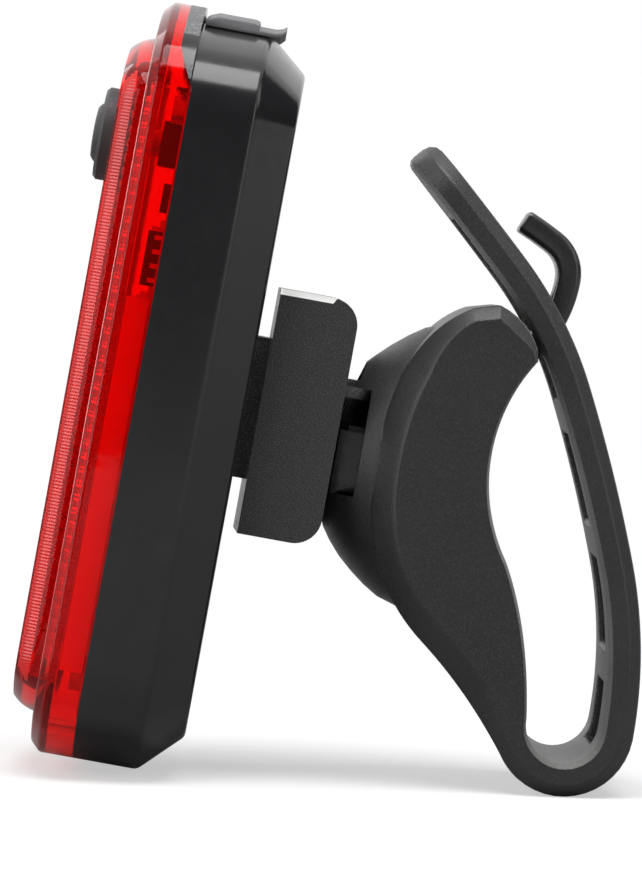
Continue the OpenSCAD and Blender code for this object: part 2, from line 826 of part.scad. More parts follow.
module strap() {
    tail = run_at(strap_start, split_a + 90, strap_runs, strap_len)[0];
    round_l = strap_tail_w / 2 * 0.7;
    tail_round = [for (a = [0:15:180])
        [strap_tail_w / 2 * cos(a), tail[1] - round_l + strap_t / 2 + round_l * sin(a)]];
    color([0.22, 0.22, 0.23]) difference() {
        intersection() {
            side_prism(band(strap_start, split_a + 90, strap_runs, strap_t, split_gap), saddle_w + over);
            slab(concat(
                [[-strap_base_w / 2, 0], [strap_base_w / 2, 0], [strap_base_w / 2, bend_l]],
                tail_round,
                [[-strap_base_w / 2, bend_l]]
            ), face_d - light_t, tube_d + tube_r);
        }
        strap_slot(hook_slot_s, hook_slot_s + hook_slot_l);
        for (i = [1:slot_count]) {
            start = hook_slot_s - i * slot_pitch;
            strap_slot(max(start, bend_bridge), start + slot_l);
        }
    }
}

module strap_slot(s0, s1) {
    side_prism(band(strap_start, split_a + 90, strap_runs, 2 * strap_t, s0, s1), slot_w);
}

stand() lens();
stand() housing();
stand() circuit_board();
stand() led_strip();
stand() led_chips();
stand() light_guide();
stand() driver_chip();
stand() small_components();
stand() switch_body();
stand() usb_socket();
stand() battery_cell();
stand() battery_pad();
stand() battery_leads();
stand() board_screws();
stand() mount_rail();
stand() rail_screws();
stand() cover_anchor();
stand() button_cap();
stand() switch_plunger();
stand() port_cover();
stand() bracket_block();
stand() latch_spring();
stand() thread_insert();
stand() swivel_washer();
stand() spring_washer();
stand() swivel_screw();
stand() saddle_pad();
stand() swivel_bush();
stand() strap_hook();
stand() screw_plug();
stand() strap();
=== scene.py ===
"""Looks of a bike rear light on a swivel bracket with a rubber saddle and ladder strap."""
import json
import logging
import math
from dataclasses import dataclass
from enum import Enum
from typing import Callable, Sequence

import bmesh
import bpy
from bmesh.types import BMEdge, BMesh, BMVert
from bpy.types import Material, Node, NodeSocket, NodeTree, Object
from mathutils import Matrix, Vector


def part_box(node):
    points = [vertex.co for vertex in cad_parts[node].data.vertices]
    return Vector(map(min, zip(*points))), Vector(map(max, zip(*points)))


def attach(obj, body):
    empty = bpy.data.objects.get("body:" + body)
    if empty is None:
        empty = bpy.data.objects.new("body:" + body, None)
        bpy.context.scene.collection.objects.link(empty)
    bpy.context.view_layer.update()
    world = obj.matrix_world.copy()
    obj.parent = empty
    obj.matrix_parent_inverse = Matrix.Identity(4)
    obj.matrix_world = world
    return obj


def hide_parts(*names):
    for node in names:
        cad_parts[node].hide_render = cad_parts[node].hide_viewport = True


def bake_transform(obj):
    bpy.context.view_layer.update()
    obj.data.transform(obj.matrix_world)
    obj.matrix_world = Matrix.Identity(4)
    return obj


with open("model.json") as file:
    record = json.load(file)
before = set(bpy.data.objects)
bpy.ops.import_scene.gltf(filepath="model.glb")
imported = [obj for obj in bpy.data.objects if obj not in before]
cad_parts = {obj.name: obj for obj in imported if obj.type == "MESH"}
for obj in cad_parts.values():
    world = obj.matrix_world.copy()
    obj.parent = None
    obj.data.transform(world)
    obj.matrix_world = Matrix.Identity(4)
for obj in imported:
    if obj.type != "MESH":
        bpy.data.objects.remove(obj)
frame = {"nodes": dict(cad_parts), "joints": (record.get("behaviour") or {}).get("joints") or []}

LOG = logging.getLogger("rear_light")
MM = 0.001
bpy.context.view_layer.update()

Point = tuple[float, float]
Spot = tuple[float, float, float]


class Solid(Enum):
    """The ways in which two solids are combined."""

    ADD = "UNION"
    CUT = "DIFFERENCE"


class Body(Enum):
    """The rigid bodies that pieces ride on."""

    SADDLE = "saddle"
    BRACKET = "bracket"
    LIGHT = "light"
    BUTTON = "button"
    COVER = "cover"
    STRAP = "strap"


def joint(name: str) -> dict:
    """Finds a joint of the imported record.

    Args:
        name: the joint's name.

    Returns:
        The joint's entry.
    """
    return next(j for j in frame["joints"] if j["name"] == name)


@dataclass(frozen=True)
class Upright:
    """The light's own upright frame in millimetres: width, depth from the lens, length from the bottom."""

    swivel_depth: float = 24.6
    swivel_height: float = 34.5

    def matrix(self) -> Matrix:
        """Works out the upright frame's place in the row frame.

        Returns:
            The matrix from upright millimetres to row metres.
        """
        swivel = joint("swivel")
        depth = Vector(swivel["axis"]).normalized()
        length = Vector(joint("light_slide")["axis"]).normalized()
        start = Vector(swivel["pos_m"]) - MM * (self.swivel_depth * depth + self.swivel_height * length)
        turn = Matrix((MM * Vector((1, 0, 0)), MM * depth, MM * length)).transposed().to_4x4()
        return Matrix.Translation(start) @ turn

    def place(self, x: float, d: float, z: float) -> Vector:
        """Gives a point of the upright frame in row metres."""
        return self.matrix() @ Vector((x, d, z))


UPRIGHT = Upright()


# Materials

# Part of a noise pattern's range that tones and roughness run over
NOISE_RANGE: Point = (0.3, 0.7)
# Part of a grain's range that turns to flecks
FLECK_RANGE: Point = (0.5, 0.72)
# Depth of a moulded grain
GRAIN_DEEP = 0.1 * MM
# Distance between the bands of a wave pattern at a scale of 1
WAVE_PITCH = 0.1 * math.pi


def linear(code: str) -> tuple[float, float, float, float]:
    """Turns an sRGB hex colour to linear light.

    Args:
        code: six hex digits.

    Returns:
        Red, green, blue and alpha.
    """
    parts = [int(code[i:i + 2], 16) / 255 for i in (0, 2, 4)]
    flat = [c / 12.92 if c <= 0.04045 else ((c + 0.055) / 1.055) ** 2.4 for c in parts]
    return (*flat, 1.0)


def add_node(tree: NodeTree, kind: str, settings: dict | None = None,
             inputs: dict | None = None) -> Node:
    """Adds a node with its settings and links.

    Args:
        tree: the node tree.
        kind: the node's type name.
        settings: attributes to set on the node.
        inputs: values or output sockets, by input name or index.

    Returns:
        The new node.
    """
    node = tree.nodes.new(kind)
    for key, value in (settings or {}).items():
        setattr(node, key, value)
    for key, value in (inputs or {}).items():
        if isinstance(value, NodeSocket):
            tree.links.new(value, node.inputs[key])
        else:
            node.inputs[key].default_value = value
    return node


def ramp(tree: NodeTree, factor: NodeSocket, low: str, high: str,
         span: Point = NOISE_RANGE) -> NodeSocket:
    """Adds a ramp between two colours.

    Args:
        tree: the node tree.
        factor: the value that runs along the ramp.
        low: the first colour, as sRGB hex.
        high: the last colour, as sRGB hex.
        span: the values where the ramp starts and ends.

    Returns:
        The ramp's colour.
    """
    node = add_node(tree, "ShaderNodeValToRGB", inputs={"Fac": factor})
    for element, place, code in zip(node.color_ramp.elements, span, (low, high)):
        element.position = place
        element.color = linear(code)
    return node.outputs["Color"]


def calculate(tree: NodeTree, operation: str, *values: float | NodeSocket) -> NodeSocket:
    """Adds a math node.

    Args:
        tree: the node tree.
        operation: the node's operation.
        values: its inputs in order.

    Returns:
        The result.
    """
    node = add_node(tree, "ShaderNodeMath", {"operation": operation}, dict(enumerate(values)))
    return node.outputs["Value"]


def ray_kinds(tree: NodeTree) -> tuple[NodeSocket, NodeSocket, NodeSocket]:
    """Tells apart the rays that reach a surface.

    Args:
        tree: the node tree.

    Returns:
        Values that are 1 for a camera ray, for that or a transmission ray, and for those or a glossy ray.
    """
    rays = add_node(tree, "ShaderNodeLightPath").outputs
    camera = rays["Is Camera Ray"]
    direct = calculate(tree, "MAXIMUM", camera, rays["Is Transmission Ray"])
    return camera, direct, calculate(tree, "MAXIMUM", direct, rays["Is Glossy Ray"])


@dataclass(frozen=True)
class Finish:
    """A material with two close tones, a grain and a range of roughness."""

    name: str
    dark: str
    pale: str
    rough_low: float
    rough_high: float
    grain_mm: float
    bump: float = 0.0
    metallic: float = 0.0
    ior: float = 1.5
    transmission: float = 0.0
    specular: float = 0.5
    mottle_mm: float = 8.0
    fleck: str = ""
    ribbed: bool = False

    def grain(self, tree: NodeTree, coords: NodeSocket) -> NodeSocket:
        """Adds the grain, or ribs across the light where the finish is ribbed.

        Args:
            tree: the node tree.
            coords: the object coordinates.

        Returns:
            The grain's value.
        """
        if not self.ribbed:
            return add_node(tree, "ShaderNodeTexNoise", inputs={
                "Vector": coords, "Scale": 1 / (self.grain_mm * MM), "Detail": 2.0}).outputs["Fac"]
        lean = joint("light_slide")["axis"]
        level = add_node(tree, "ShaderNodeMapping", inputs={
            "Vector": coords, "Rotation": (math.atan2(lean[1], lean[2]), 0.0, 0.0)})
        return add_node(tree, "ShaderNodeTexWave", {"bands_direction": "Z"}, {
            "Vector": level.outputs["Vector"], "Scale": WAVE_PITCH / (self.grain_mm * MM)}).outputs["Fac"]

    def build(self) -> Material:
        """Makes the material once and returns it after that.

        Returns:
            The node material.
        """
        found = bpy.data.materials.get(self.name)
        if found:
            return found
        material = bpy.data.materials.new(self.name)
        material.use_nodes = True
        tree = material.node_tree
        coords = add_node(tree, "ShaderNodeTexCoord").outputs["Object"]
        mottle = add_node(tree, "ShaderNodeTexNoise", inputs={
            "Vector": coords, "Scale": 1 / (self.mottle_mm * MM), "Detail": 3.0})
        grain = self.grain(tree, coords)
        tone = ramp(tree, mottle.outputs["Fac"], self.dark, self.pale)
        if self.fleck:
            spots = ramp(tree, grain, "000000", "FFFFFF", FLECK_RANGE)
            tone = add_node(tree, "ShaderNodeMix", {"data_type": "RGBA"}, {
                "Factor": spots, "A": tone, "B": linear(self.fleck)}).outputs["Result"]
        rough = add_node(tree, "ShaderNodeMapRange", inputs={
            "Value": grain, "From Min": NOISE_RANGE[0], "From Max": NOISE_RANGE[1],
            "To Min": self.rough_low, "To Max": self.rough_high})
        sockets = tree.nodes["Principled BSDF"].inputs
        tree.links.new(tone, sockets["Base Color"])
        tree.links.new(rough.outputs["Result"], sockets["Roughness"])
        sockets["Metallic"].default_value = self.metallic
        sockets["IOR"].default_value = self.ior
        sockets["Transmission Weight"].default_value = self.transmission
        sockets["Specular IOR Level"].default_value = self.specular
        if self.transmission:
            sockets["Specular Tint"].default_value = (*[min(1.0, 2 * self.specular)] * 3, 1.0)
        if self.bump:
            bump = add_node(tree, "ShaderNodeBump", inputs={
                "Height": grain, "Strength": self.bump, "Distance": GRAIN_DEEP})
            tree.links.new(bump.outputs["Normal"], sockets["Normal"])
        return material


# Moulded clear red polycarbonate: saturated, glossy, with what lies behind it showing through
RED_LENS = Finish("red_polycarbonate_moulded", "FF1610", "FF1E16", 0.02, 0.06, 0.8, 0.02,
                  ior=1.56, transmission=0.95, specular=0.14)
# The same lens on the plateau's slope, with fine moulded ribs across it
RIBBED_LENS = Finish("red_polycarbonate_ribbed", "FF1610", "FF1E16", 0.03, 0.1, 0.3, 0.3,
                     ior=1.56, transmission=0.4, ribbed=True)
# Gloss ABS from a polished mould: near black, with clean reflections and a faint ripple
GLOSS_ABS = Finish("black_abs_polished_mould", "202022", "252527", 0.14, 0.2, 1.2, 0.03, ior=1.53,
                   specular=0.4)
# The same ABS where the mould was spark eroded: grey, broken highlights. On the mount rail the grey is
# painted light that lifts the black rail out of its shade
TEXTURED_AND_PAINTED_LIGHT_ABS = Finish("black_abs_spark_eroded_and_painted_light", "4E4E50", "5A5A5C", 0.42, 0.62, 0.16, 1.0, ior=1.53,
                      fleck="A6A6A8")
# Glass filled nylon from a grained mould: charcoal with pale specks
GRAIN_NYLON = Finish("charcoal_nylon_grained_mould", "212122", "282829", 0.45, 0.62, 0.13, 0.8, ior=1.53,
                     fleck="4C4C4E")
# The same nylon where the mould is smooth, on the hook and the swivel shroud
SMOOTH_NYLON = Finish("charcoal_nylon_smooth_mould", "2A2A2B", "303031", 0.22, 0.34, 0.4, 0.08, ior=1.53)
# The block's charcoal nylon painted pale and glossy on its front face and cut top edges: a painted
# highlight for the white backdrop that these faces reflect at a grazing angle
PAINTED_HIGHLIGHT_NYLON = Finish("nylon_painted_edge_highlight", "D8D8D6", "E4E4E2", 0.1, 0.2, 0.5, 0.1, ior=1.53)
# Moulded silicone rubber: soft satin black with faint specks
SILICONE = Finish("black_silicone_moulded", "2D2D2E", "323233", 0.32, 0.46, 0.13, 0.4, ior=1.44,
                  fleck="404041")
# The same silicone painted paler on the inner faces, with pale specks: a painted reflection of the bright
# backdrop that these faces catch at a grazing angle
PAINTED_SHEEN_SILICONE = Finish("black_silicone_painted_sheen", "545453", "5E5E5D", 0.36, 0.5, 0.16, 0.8, ior=1.44,
                        fleck="8A8A88")
# Moulded TPE of the button: matte, slightly lighter
SOFT_TPE = Finish("grey_tpe_moulded", "343435", "3E3E3F", 0.5, 0.68, 0.25, 0.3, ior=1.48)
# The TPE of the port cover: matte grey, painted paler than the button's TPE as painted light for the
# softbox light on its upward face
COVER_TPE = Finish("grey_tpe_painted_lighter", "6A6A6C", "767678", 0.5, 0.66, 0.25, 0.3, ior=1.48)
# White solder mask over fibreglass: bright and satin
SOLDER_MASK = Finish("white_solder_mask", "D8D4CC", "E6E2DA", 0.3, 0.4, 1.0, 0.05)
# Cast resin of the light chips: pale yellow and glossy
PALE_RESIN = Finish("pale_resin_cast", "F4E6C0", "FBF2DC", 0.08, 0.2, 0.6, 0.05)
# Moulded acrylic of the reflector bars behind the lens wall: deep crimson
CRIMSON_ACRYLIC = Finish("crimson_acrylic_moulded", "A80C14", "C01018", 0.12, 0.25, 0.5, 0.05, ior=1.49)
# Moulded white ABS of the frame behind the lens skirt: bright, so that the skirt glows red
WHITE_ABS = Finish("white_abs_moulded", "F6F5F2", "FAF9F6", 0.3, 0.4, 0.6, 0.05)
# Pressed ceramic of the small board parts: tan and dull
PALE_CERAMIC = Finish("pale_ceramic_pressed", "C9B79A", "D8C8AE", 0.35, 0.5, 0.3, 0.1)
# Moulded clear acrylic of the light guide: nearly colourless
CLEAR_ACRYLIC = Finish("clear_acrylic_moulded", "F2D8D4", "FBEDEA", 0.04, 0.1, 0.8, 0.02, ior=1.49,
                       transmission=1.0)
# Moulded epoxy of chips and switches: black and dull
CHIP_EPOXY = Finish("black_epoxy_moulded", "121212", "1C1C1C", 0.4, 0.55, 0.3, 0.2)
# Nickel plated steel of screws, spring and socket: pale, with soft reflections
PLATED_STEEL = Finish("steel_nickel_plated", "B9B9BC", "CFCFD2", 0.18, 0.3, 0.4, 0.05, metallic=1.0)
# Turned brass of the thread insert: warm, with soft reflections
TURNED_BRASS = Finish("brass_turned", "B08A3E", "C9A253", 0.22, 0.34, 0.3, 0.08, metallic=1.0)
# Aluminium foil of the battery pouch: bright, with a faint ripple
CELL_FOIL = Finish("aluminium_foil_pouch", "A9ABAE", "C2C4C7", 0.25, 0.4, 1.5, 0.2, metallic=0.9)
# Closed cell foam of the battery pad: dull and dark
FOAM = Finish("grey_foam_cut", "2A2A2B", "3A3A3C", 0.85, 0.95, 0.4, 0.6)
# Extruded PVC of the battery leads: red and satin
LEAD_PVC = Finish("red_pvc_extruded", "8E1512", "A31B17", 0.35, 0.5, 0.5, 0.05)

# Black paper card of the stage: dull
BLACK_CARD = Finish("black_card", "3A3A3A", "404040", 0.8, 0.9, 5.0)

CAD_FINISHES: dict[Finish, tuple[str, ...]] = {
    RED_LENS: ("lens",),
    GLOSS_ABS: ("housing",),
    # The rail's grey is painted light, standing in for light that the shaded rail does not get
    TEXTURED_AND_PAINTED_LIGHT_ABS: ("mount_rail",),
    GRAIN_NYLON: ("bracket_block", "swivel_bush"),
    SMOOTH_NYLON: ("strap_hook",),
    SILICONE: ("saddle_pad", "strap", "screw_plug"),
    SOFT_TPE: ("button_cap", "cover_anchor"),
    # The cover's paler grey is painted light on its upward face
    COVER_TPE: ("port_cover",),
    SOLDER_MASK: ("circuit_board", "led_strip"),
    PALE_RESIN: ("led_chips", "switch_plunger"),
    CLEAR_ACRYLIC: ("light_guide",),
    CHIP_EPOXY: ("driver_chip", "small_components", "switch_body"),
    PLATED_STEEL: ("usb_socket", "board_screws", "rail_screws", "latch_spring", "swivel_washer",
                   "spring_washer", "swivel_screw"),
    TURNED_BRASS: ("thread_insert",),
    CELL_FOIL: ("battery_cell",),
    FOAM: ("battery_pad",),
    LEAD_PVC: ("battery_leads",),
}


def dress_cad_nodes() -> None:
    """Gives every CAD node its procedural material."""
    for finish, names in CAD_FINISHES.items():
        for name in names:
            slots = frame["nodes"][name].data.materials
            slots.clear()
            slots.append(finish.build())


# Stage

@dataclass(frozen=True)
class SoftBox:
    """A rectangular soft box: its place, size and aim in metres and its power in watts."""

    name: str
    spot: Spot
    size: Point
    power: float
    aim: Spot = (0.0, 0.0, 0.035)

    def hang(self) -> None:
        """Hangs the soft box so that it faces the object."""
        data = bpy.data.lights.new(self.name, "AREA")
        data.shape = "RECTANGLE"
        data.size, data.size_y = self.size
        data.energy = self.power
        lamp = bpy.data.objects.new(self.name, data)
        bpy.context.scene.collection.objects.link(lamp)
        turn = (Vector(self.aim) - Vector(self.spot)).to_track_quat("-Z", "Y").to_matrix().to_4x4()
        lamp.matrix_world = Matrix.Translation(self.spot) @ turn


@dataclass(frozen=True)
class DarkCard:
    """A dark card out of the picture: flat faces reflect it and stay deep. Metres and degrees."""

    name: str
    away: float
    bearing: float
    lift: float = 0.4
    size: float = 1.4

    def stand(self) -> None:
        """Stands the card up so that it faces the object."""
        bm = bmesh.new()
        upright = Matrix.Translation((self.away, 0, self.lift)) @ Matrix.Rotation(math.pi / 2, 4, "Y")
        turn = Matrix.Rotation(math.radians(self.bearing), 4, "Z") @ upright
        bmesh.ops.create_grid(bm, x_segments=1, y_segments=1, size=self.size / 2, matrix=turn)
        card = new_object(self.name, bm, upright=False)
        card.data.materials.append(BLACK_CARD.build())
        card.visible_camera = False
        card.visible_transmission = False


SOFT_BOXES = (
    SoftBox("overhead", (0.2, 0.02, 0.76), (0.58, 0.46), 5.8),
    SoftBox("lens_side", (0.456, -0.656, 0.30), (0.6, 0.6), 2.4),
    SoftBox("strap_side", (0.25, 0.75, 0.5), (0.4, 0.5), 1.2),
    SoftBox("crease_strip", (0.52, 0.44, 0.12), (0.06, 0.5), 0.35),
    SoftBox("back_left", (-0.55, -0.6, 0.35), (0.6, 0.6), 2.2),
)
DARK_CARDS = (DarkCard("dark_card", 0.75, 0.0), DarkCard("side_card", 0.95, 90.0))


@dataclass(frozen=True)
class Studio:
    """A white sweep, its backdrop and the camera of the photograph, in metres and degrees."""

    image_h: int = 881
    focal_px: float = 4917.0
    sensor_mm: float = 36.0
    clip: Point = (0.01, 50.0)
    distance: float = 0.45
    azimuth: float = 89.25
    elevation: float = 1.9
    roll: float = 2.5
    aim: Spot = (0.0, -0.00125, 0.03072)
    floor_size: float = 6.0
    paper_seen: str = "F7F7F7"
    paper_bounce: str = "A0A0A0"
    white: str = "FFFFFF"
    shadow_start: float = 0.032
    shadow_end: float = 0.16
    shadow_lift: float = 0.5
    mirror_end: float = 0.7
    side_fill: float = 0.3
    back_fill: float = 1.1
    back_range: Point = (-0.8, -0.97)

    def camera(self) -> None:
        """Sets the camera at the photograph's viewing angle."""
        data = bpy.data.cameras.new("camera")
        data.sensor_width = self.sensor_mm
        data.lens = self.focal_px / self.image_h * self.sensor_mm
        data.clip_start, data.clip_end = self.clip
        az, el = math.radians(self.azimuth), math.radians(self.elevation)
        away = Vector((math.sin(az) * math.cos(el), -math.cos(az) * math.cos(el), math.sin(el)))
        camera = bpy.data.objects.new("camera", data)
        bpy.context.scene.collection.objects.link(camera)
        turn = (-away).to_track_quat("-Z", "Y").to_matrix().to_4x4()
        spin = Matrix.Rotation(math.radians(self.roll), 4, "Z")
        camera.matrix_world = Matrix.Translation(Vector(self.aim) + self.distance * away) @ turn @ spin
        bpy.context.scene.camera = camera

    def paper(self) -> Material:
        """Makes a paper that keeps the object's shadow and fades to plain white.

        Mirrored by the object, the white starts further out, so that the housing's foot stays dark.

        Returns:
            The floor's material.
        """
        material = bpy.data.materials.new("white_paper_sweep")
        material.use_nodes = True
        tree = material.node_tree
        tree.nodes.clear()
        coords = add_node(tree, "ShaderNodeTexCoord").outputs["Object"]
        far = add_node(tree, "ShaderNodeVectorMath", {"operation": "LENGTH"}, {0: coords})
        camera, direct, seen = ray_kinds(tree)
        lift = calculate(tree, "MULTIPLY", direct, self.shadow_lift)
        end = calculate(tree, "MULTIPLY_ADD", direct, self.shadow_end - self.mirror_end, self.mirror_end)
        fade = add_node(tree, "ShaderNodeMapRange", {"interpolation_type": "SMOOTHSTEP"}, {
            "Value": far.outputs["Value"], "From Min": self.shadow_start, "From Max": end, "To Min": lift})
        mix = calculate(tree, "MULTIPLY", seen, fade.outputs["Result"])
        tone = add_node(tree, "ShaderNodeMix", {"data_type": "RGBA"}, {
            "Factor": camera, "A": linear(self.paper_bounce), "B": linear(self.paper_seen)})
        paper = add_node(tree, "ShaderNodeBsdfDiffuse", inputs={"Color": tone.outputs["Result"]})
        white = add_node(tree, "ShaderNodeEmission", inputs={"Color": linear(self.white), "Strength": 1.0})
        both = add_node(tree, "ShaderNodeMixShader", inputs={
            0: mix, 1: paper.outputs["BSDF"], 2: white.outputs["Emission"]})
        add_node(tree, "ShaderNodeOutputMaterial", inputs={"Surface": both.outputs["Shader"]})
        return material

    def floor(self) -> None:
        """Lays the paper floor."""
        bm = bmesh.new()
        bmesh.ops.create_grid(bm, x_segments=1, y_segments=1, size=self.floor_size / 2)
        floor = new_object("floor", bm, upright=False)
        floor.data.materials.append(self.paper())

    def world(self) -> None:
        """Makes a white backdrop for the camera and a soft fill light, brighter from behind the object."""
        world = bpy.data.worlds.new("studio")
        bpy.context.scene.world = world
        world.use_nodes = True
        tree = world.node_tree
        tree.nodes.clear()
        _, _, seen = ray_kinds(tree)
        way = add_node(tree, "ShaderNodeSeparateXYZ", inputs={
            0: add_node(tree, "ShaderNodeTexCoord").outputs["Generated"]})
        level = add_node(tree, "ShaderNodeMapRange", {"interpolation_type": "SMOOTHSTEP"}, {
            "Value": way.outputs["X"], "From Min": self.back_range[0], "From Max": self.back_range[1],
            "To Min": self.side_fill, "To Max": self.back_fill})
        fill = add_node(tree, "ShaderNodeBackground", inputs={
            "Color": linear(self.white), "Strength": level.outputs["Result"]})
        white = add_node(tree, "ShaderNodeBackground",
                         inputs={"Color": linear(self.white), "Strength": 1.0})
        both = add_node(tree, "ShaderNodeMixShader", inputs={
            0: seen, 1: fill.outputs["Background"], 2: white.outputs["Background"]})
        add_node(tree, "ShaderNodeOutputWorld", inputs={"Surface": both.outputs["Shader"]})

    def build(self) -> None:
        """Builds the whole stage."""
        bpy.context.scene.view_settings.view_transform = "Standard"
        self.camera()
        self.floor()
        self.world()
        for card in DARK_CARDS:
            card.stand()
        for lamp in SOFT_BOXES:
            lamp.hang()


# Mesh helpers

# Slack when places are compared, in millimetres
TOUCH = 0.01
# Distance in millimetres within which a bmesh's points are one
MERGE = 0.001
# Distance in millimetres and angle in degrees within which a CAD node's points and faces are one
CAD_MERGE: Point = (0.002, 1.0)
# Largest share of a side that a fillet takes
FILLET_SHARE = 0.45
# Turn in radians below which a run is straight
STRAIGHT = 1e-9


def new_object(name: str, bm: BMesh, crease: float = 32.0, upright: bool = True) -> Object:
    """Turns a bmesh into an object whose place is in its mesh.

    Args:
        name: the object's name.
        bm: the bmesh, which is freed.
        crease: the angle in degrees above which an edge stays sharp.
        upright: whether the bmesh is in the upright frame and still has to be placed.

    Returns:
        The linked object.
    """
    if upright:
        bm.transform(UPRIGHT.matrix())
    mesh = bpy.data.meshes.new(name)
    bm.to_mesh(mesh)
    bm.free()
    for face in mesh.polygons:
        face.use_smooth = True
    mesh.set_sharp_from_angle(angle=math.radians(crease))
    made = bpy.data.objects.new(name, mesh)
    bpy.context.scene.collection.objects.link(made)
    return made


def even_shading(piece: Object) -> None:
    """Keeps broad faces flat beside rounded edges."""
    modifier = piece.modifiers.new("even_shading", "WEIGHTED_NORMAL")
    modifier.keep_sharp = True


def add_ring(bm: BMesh, points: Sequence[Spot]) -> list[BMEdge]:
    """Adds a closed ring of edges through points.

    Args:
        bm: the bmesh.
        points: the ring's points in order.

    Returns:
        The ring's edges in order.
    """
    verts = [bm.verts.new(p) for p in points]
    return [bm.edges.new((a, b)) for a, b in zip(verts, verts[1:] + verts[:1])]


def loft(bm: BMesh, rings: Sequence[Sequence[Spot]], capped: bool = True) -> list[list[BMEdge]]:
    """Extrudes a ring of points through the next rings and closes the ends.

    Args:
        bm: the bmesh.
        rings: the rings, each a list of points.
        capped: whether the first and the last ring are filled.

    Returns:
        The edges of each ring.
    """
    loops = [add_ring(bm, rings[0])]
    verts = [edge.verts[0] for edge in loops[0]]
    for points in rings[1:]:
        made = bmesh.ops.extrude_edge_only(bm, edges=loops[-1])["geom"]
        fresh = {part for part in made if isinstance(part, BMVert)}
        verts = [next(e.other_vert(v) for e in v.link_edges if e.other_vert(v) in fresh) for v in verts]
        for vert, point in zip(verts, points):
            vert.co = point
        loops.append([bm.edges.get(pair) for pair in zip(verts, verts[1:] + verts[:1])])
    if capped:
        for loop in (loops[0], loops[-1]):
            bmesh.ops.edgeloop_fill(bm, edges=loop)
    return loops


def round_edges(bm: BMesh, edges: Sequence[BMEdge], radius: float, steps: int, clamp: bool = True) -> None:
    """Rounds edges with a bevel, or cuts them where it has one step.

    Args:
        bm: the bmesh.
        edges: the edges, of which some may be used up by an earlier bevel.
        radius: how far the bevel reaches.
        steps: its number of steps.
        clamp: whether the bevel stops short of its neighbours.
    """
    live = [e for e in edges if e.is_valid]
    bmesh.ops.bevel(bm, geom=live, offset=radius, segments=steps, profile=0.5, affect="EDGES",
                    offset_type="OFFSET", material=-1, clamp_overlap=clamp)


def settle(bm: BMesh) -> None:
    """Merges doubles and points every face outwards.

    Args:
        bm: the bmesh.
    """
    bmesh.ops.remove_doubles(bm, verts=bm.verts, dist=MERGE)
    bmesh.ops.recalc_face_normals(bm, faces=bm.faces)
    if bm.calc_volume(signed=True) < 0:
        bmesh.ops.reverse_faces(bm, faces=bm.faces)


def finish_piece(piece: Object, body: Body | None, finishes: Sequence[Finish],
                 nodes: Sequence[str] = ()) -> None:
    """Dresses a piece, sets it on its body and hides the CAD nodes it replaces.

    Args:
        piece: the piece.
        body: the body it rides on, or None where it is set on none.
        finishes: its finishes, in the order of its faces' material numbers.
        nodes: the CAD nodes it replaces.
    """
    for finish in finishes:
        piece.data.materials.append(finish.build())
    if body:
        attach(piece, body.value)
    if nodes:
        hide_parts(*nodes)
    place = body.value if body else "two bodies"
    LOG.info("%s: %d faces on %s", piece.name, len(piece.data.polygons), place)


def arc(centre: Point, radius: float, start: float, end: float, steps: int) -> list[Point]:
    """Gives points of an arc, its ends included.

    Args:
        centre: the arc's centre.
        radius: its radius.
        start: its first angle in degrees.
        end: its last angle in degrees.
        steps: the number of steps.

    Returns:
        The points.
    """
    turn = [math.radians(start + (end - start) * i / steps) for i in range(steps + 1)]
    return [(centre[0] + radius * math.cos(a), centre[1] + radius * math.sin(a)) for a in turn]


def curve(a: Point, b: Point, c: Point, steps: int) -> list[Point]:
    """Gives points of a curve that leaves its first end and meets its last end along two lines.

    Args:
        a: the first end.
        b: the corner where the two lines cross.
        c: the last end, which is left out of the points.
        steps: the number of points.

    Returns:
        The points.
    """
    found = []
    for i in range(steps):
        t = i / steps
        w = ((1 - t) ** 2, 2 * t * (1 - t), t * t)
        found.append((w[0] * a[0] + w[1] * b[0] + w[2] * c[0], w[0] * a[1] + w[1] * b[1] + w[2] * c[1]))
    return found


def fillet(points: Sequence[Point], radius: float, steps: int = 3) -> list[Point]:
    """Rounds the inner corners of an open run of points.

    Args:
        points: the run's points.
        radius: the distance that each corner is cut back by, at most.
        steps: the number of steps in a corner.

    Returns:
        The rounded run, its two ends kept.
    """
    found = [points[0]]
    for a, b, c in zip(points, points[1:], points[2:]):
        to_a, to_c = (Vector(a) - Vector(b)), (Vector(c) - Vector(b))
        cut = min(radius, FILLET_SHARE * to_a.length, FILLET_SHARE * to_c.length)
        start, end = Vector(b) + cut * to_a.normalized(), Vector(b) + cut * to_c.normalized()
        found += curve(tuple(start), b, tuple(end), steps) + [tuple(end)]
    return found + [points[-1]]


def combine(base: Object, tool: Object, way: Solid) -> None:
    """Combines two objects into the first and removes the second.

    Args:
        base: the object that is changed.
        tool: the object that is used up.
        way: whether the second is added or cut away.
    """
    modifier = base.modifiers.new("combine", "BOOLEAN")
    modifier.operation = way.value
    modifier.solver = "EXACT"
    modifier.object = tool
    graph = bpy.context.evaluated_depsgraph_get()
    mesh = bpy.data.meshes.new_from_object(base.evaluated_get(graph))
    old = base.data
    base.modifiers.clear()
    base.data = mesh
    mesh.name = base.name
    bpy.data.meshes.remove(old)
    bpy.data.objects.remove(tool)


def share_of(value: float, low: float, high: float) -> float:
    """Gives how far a value lies from a low to a high one, kept between 0 and 1."""
    return max(0.0, min(1.0, (value - low) / (high - low)))


def advance(place: Spot, chord: float, bend: float) -> Spot:
    """Goes along one chord of a bent line.

    Args:
        place: the depth, the height and the heading in radians.
        chord: the chord's length.
        bend: the turn in radians from its start to its end.

    Returns:
        The depth, the height and the heading at its end.
    """
    d, z, heading = place
    middle = heading + bend / 2
    return d + chord * math.cos(middle), z + chord * math.sin(middle), heading + bend


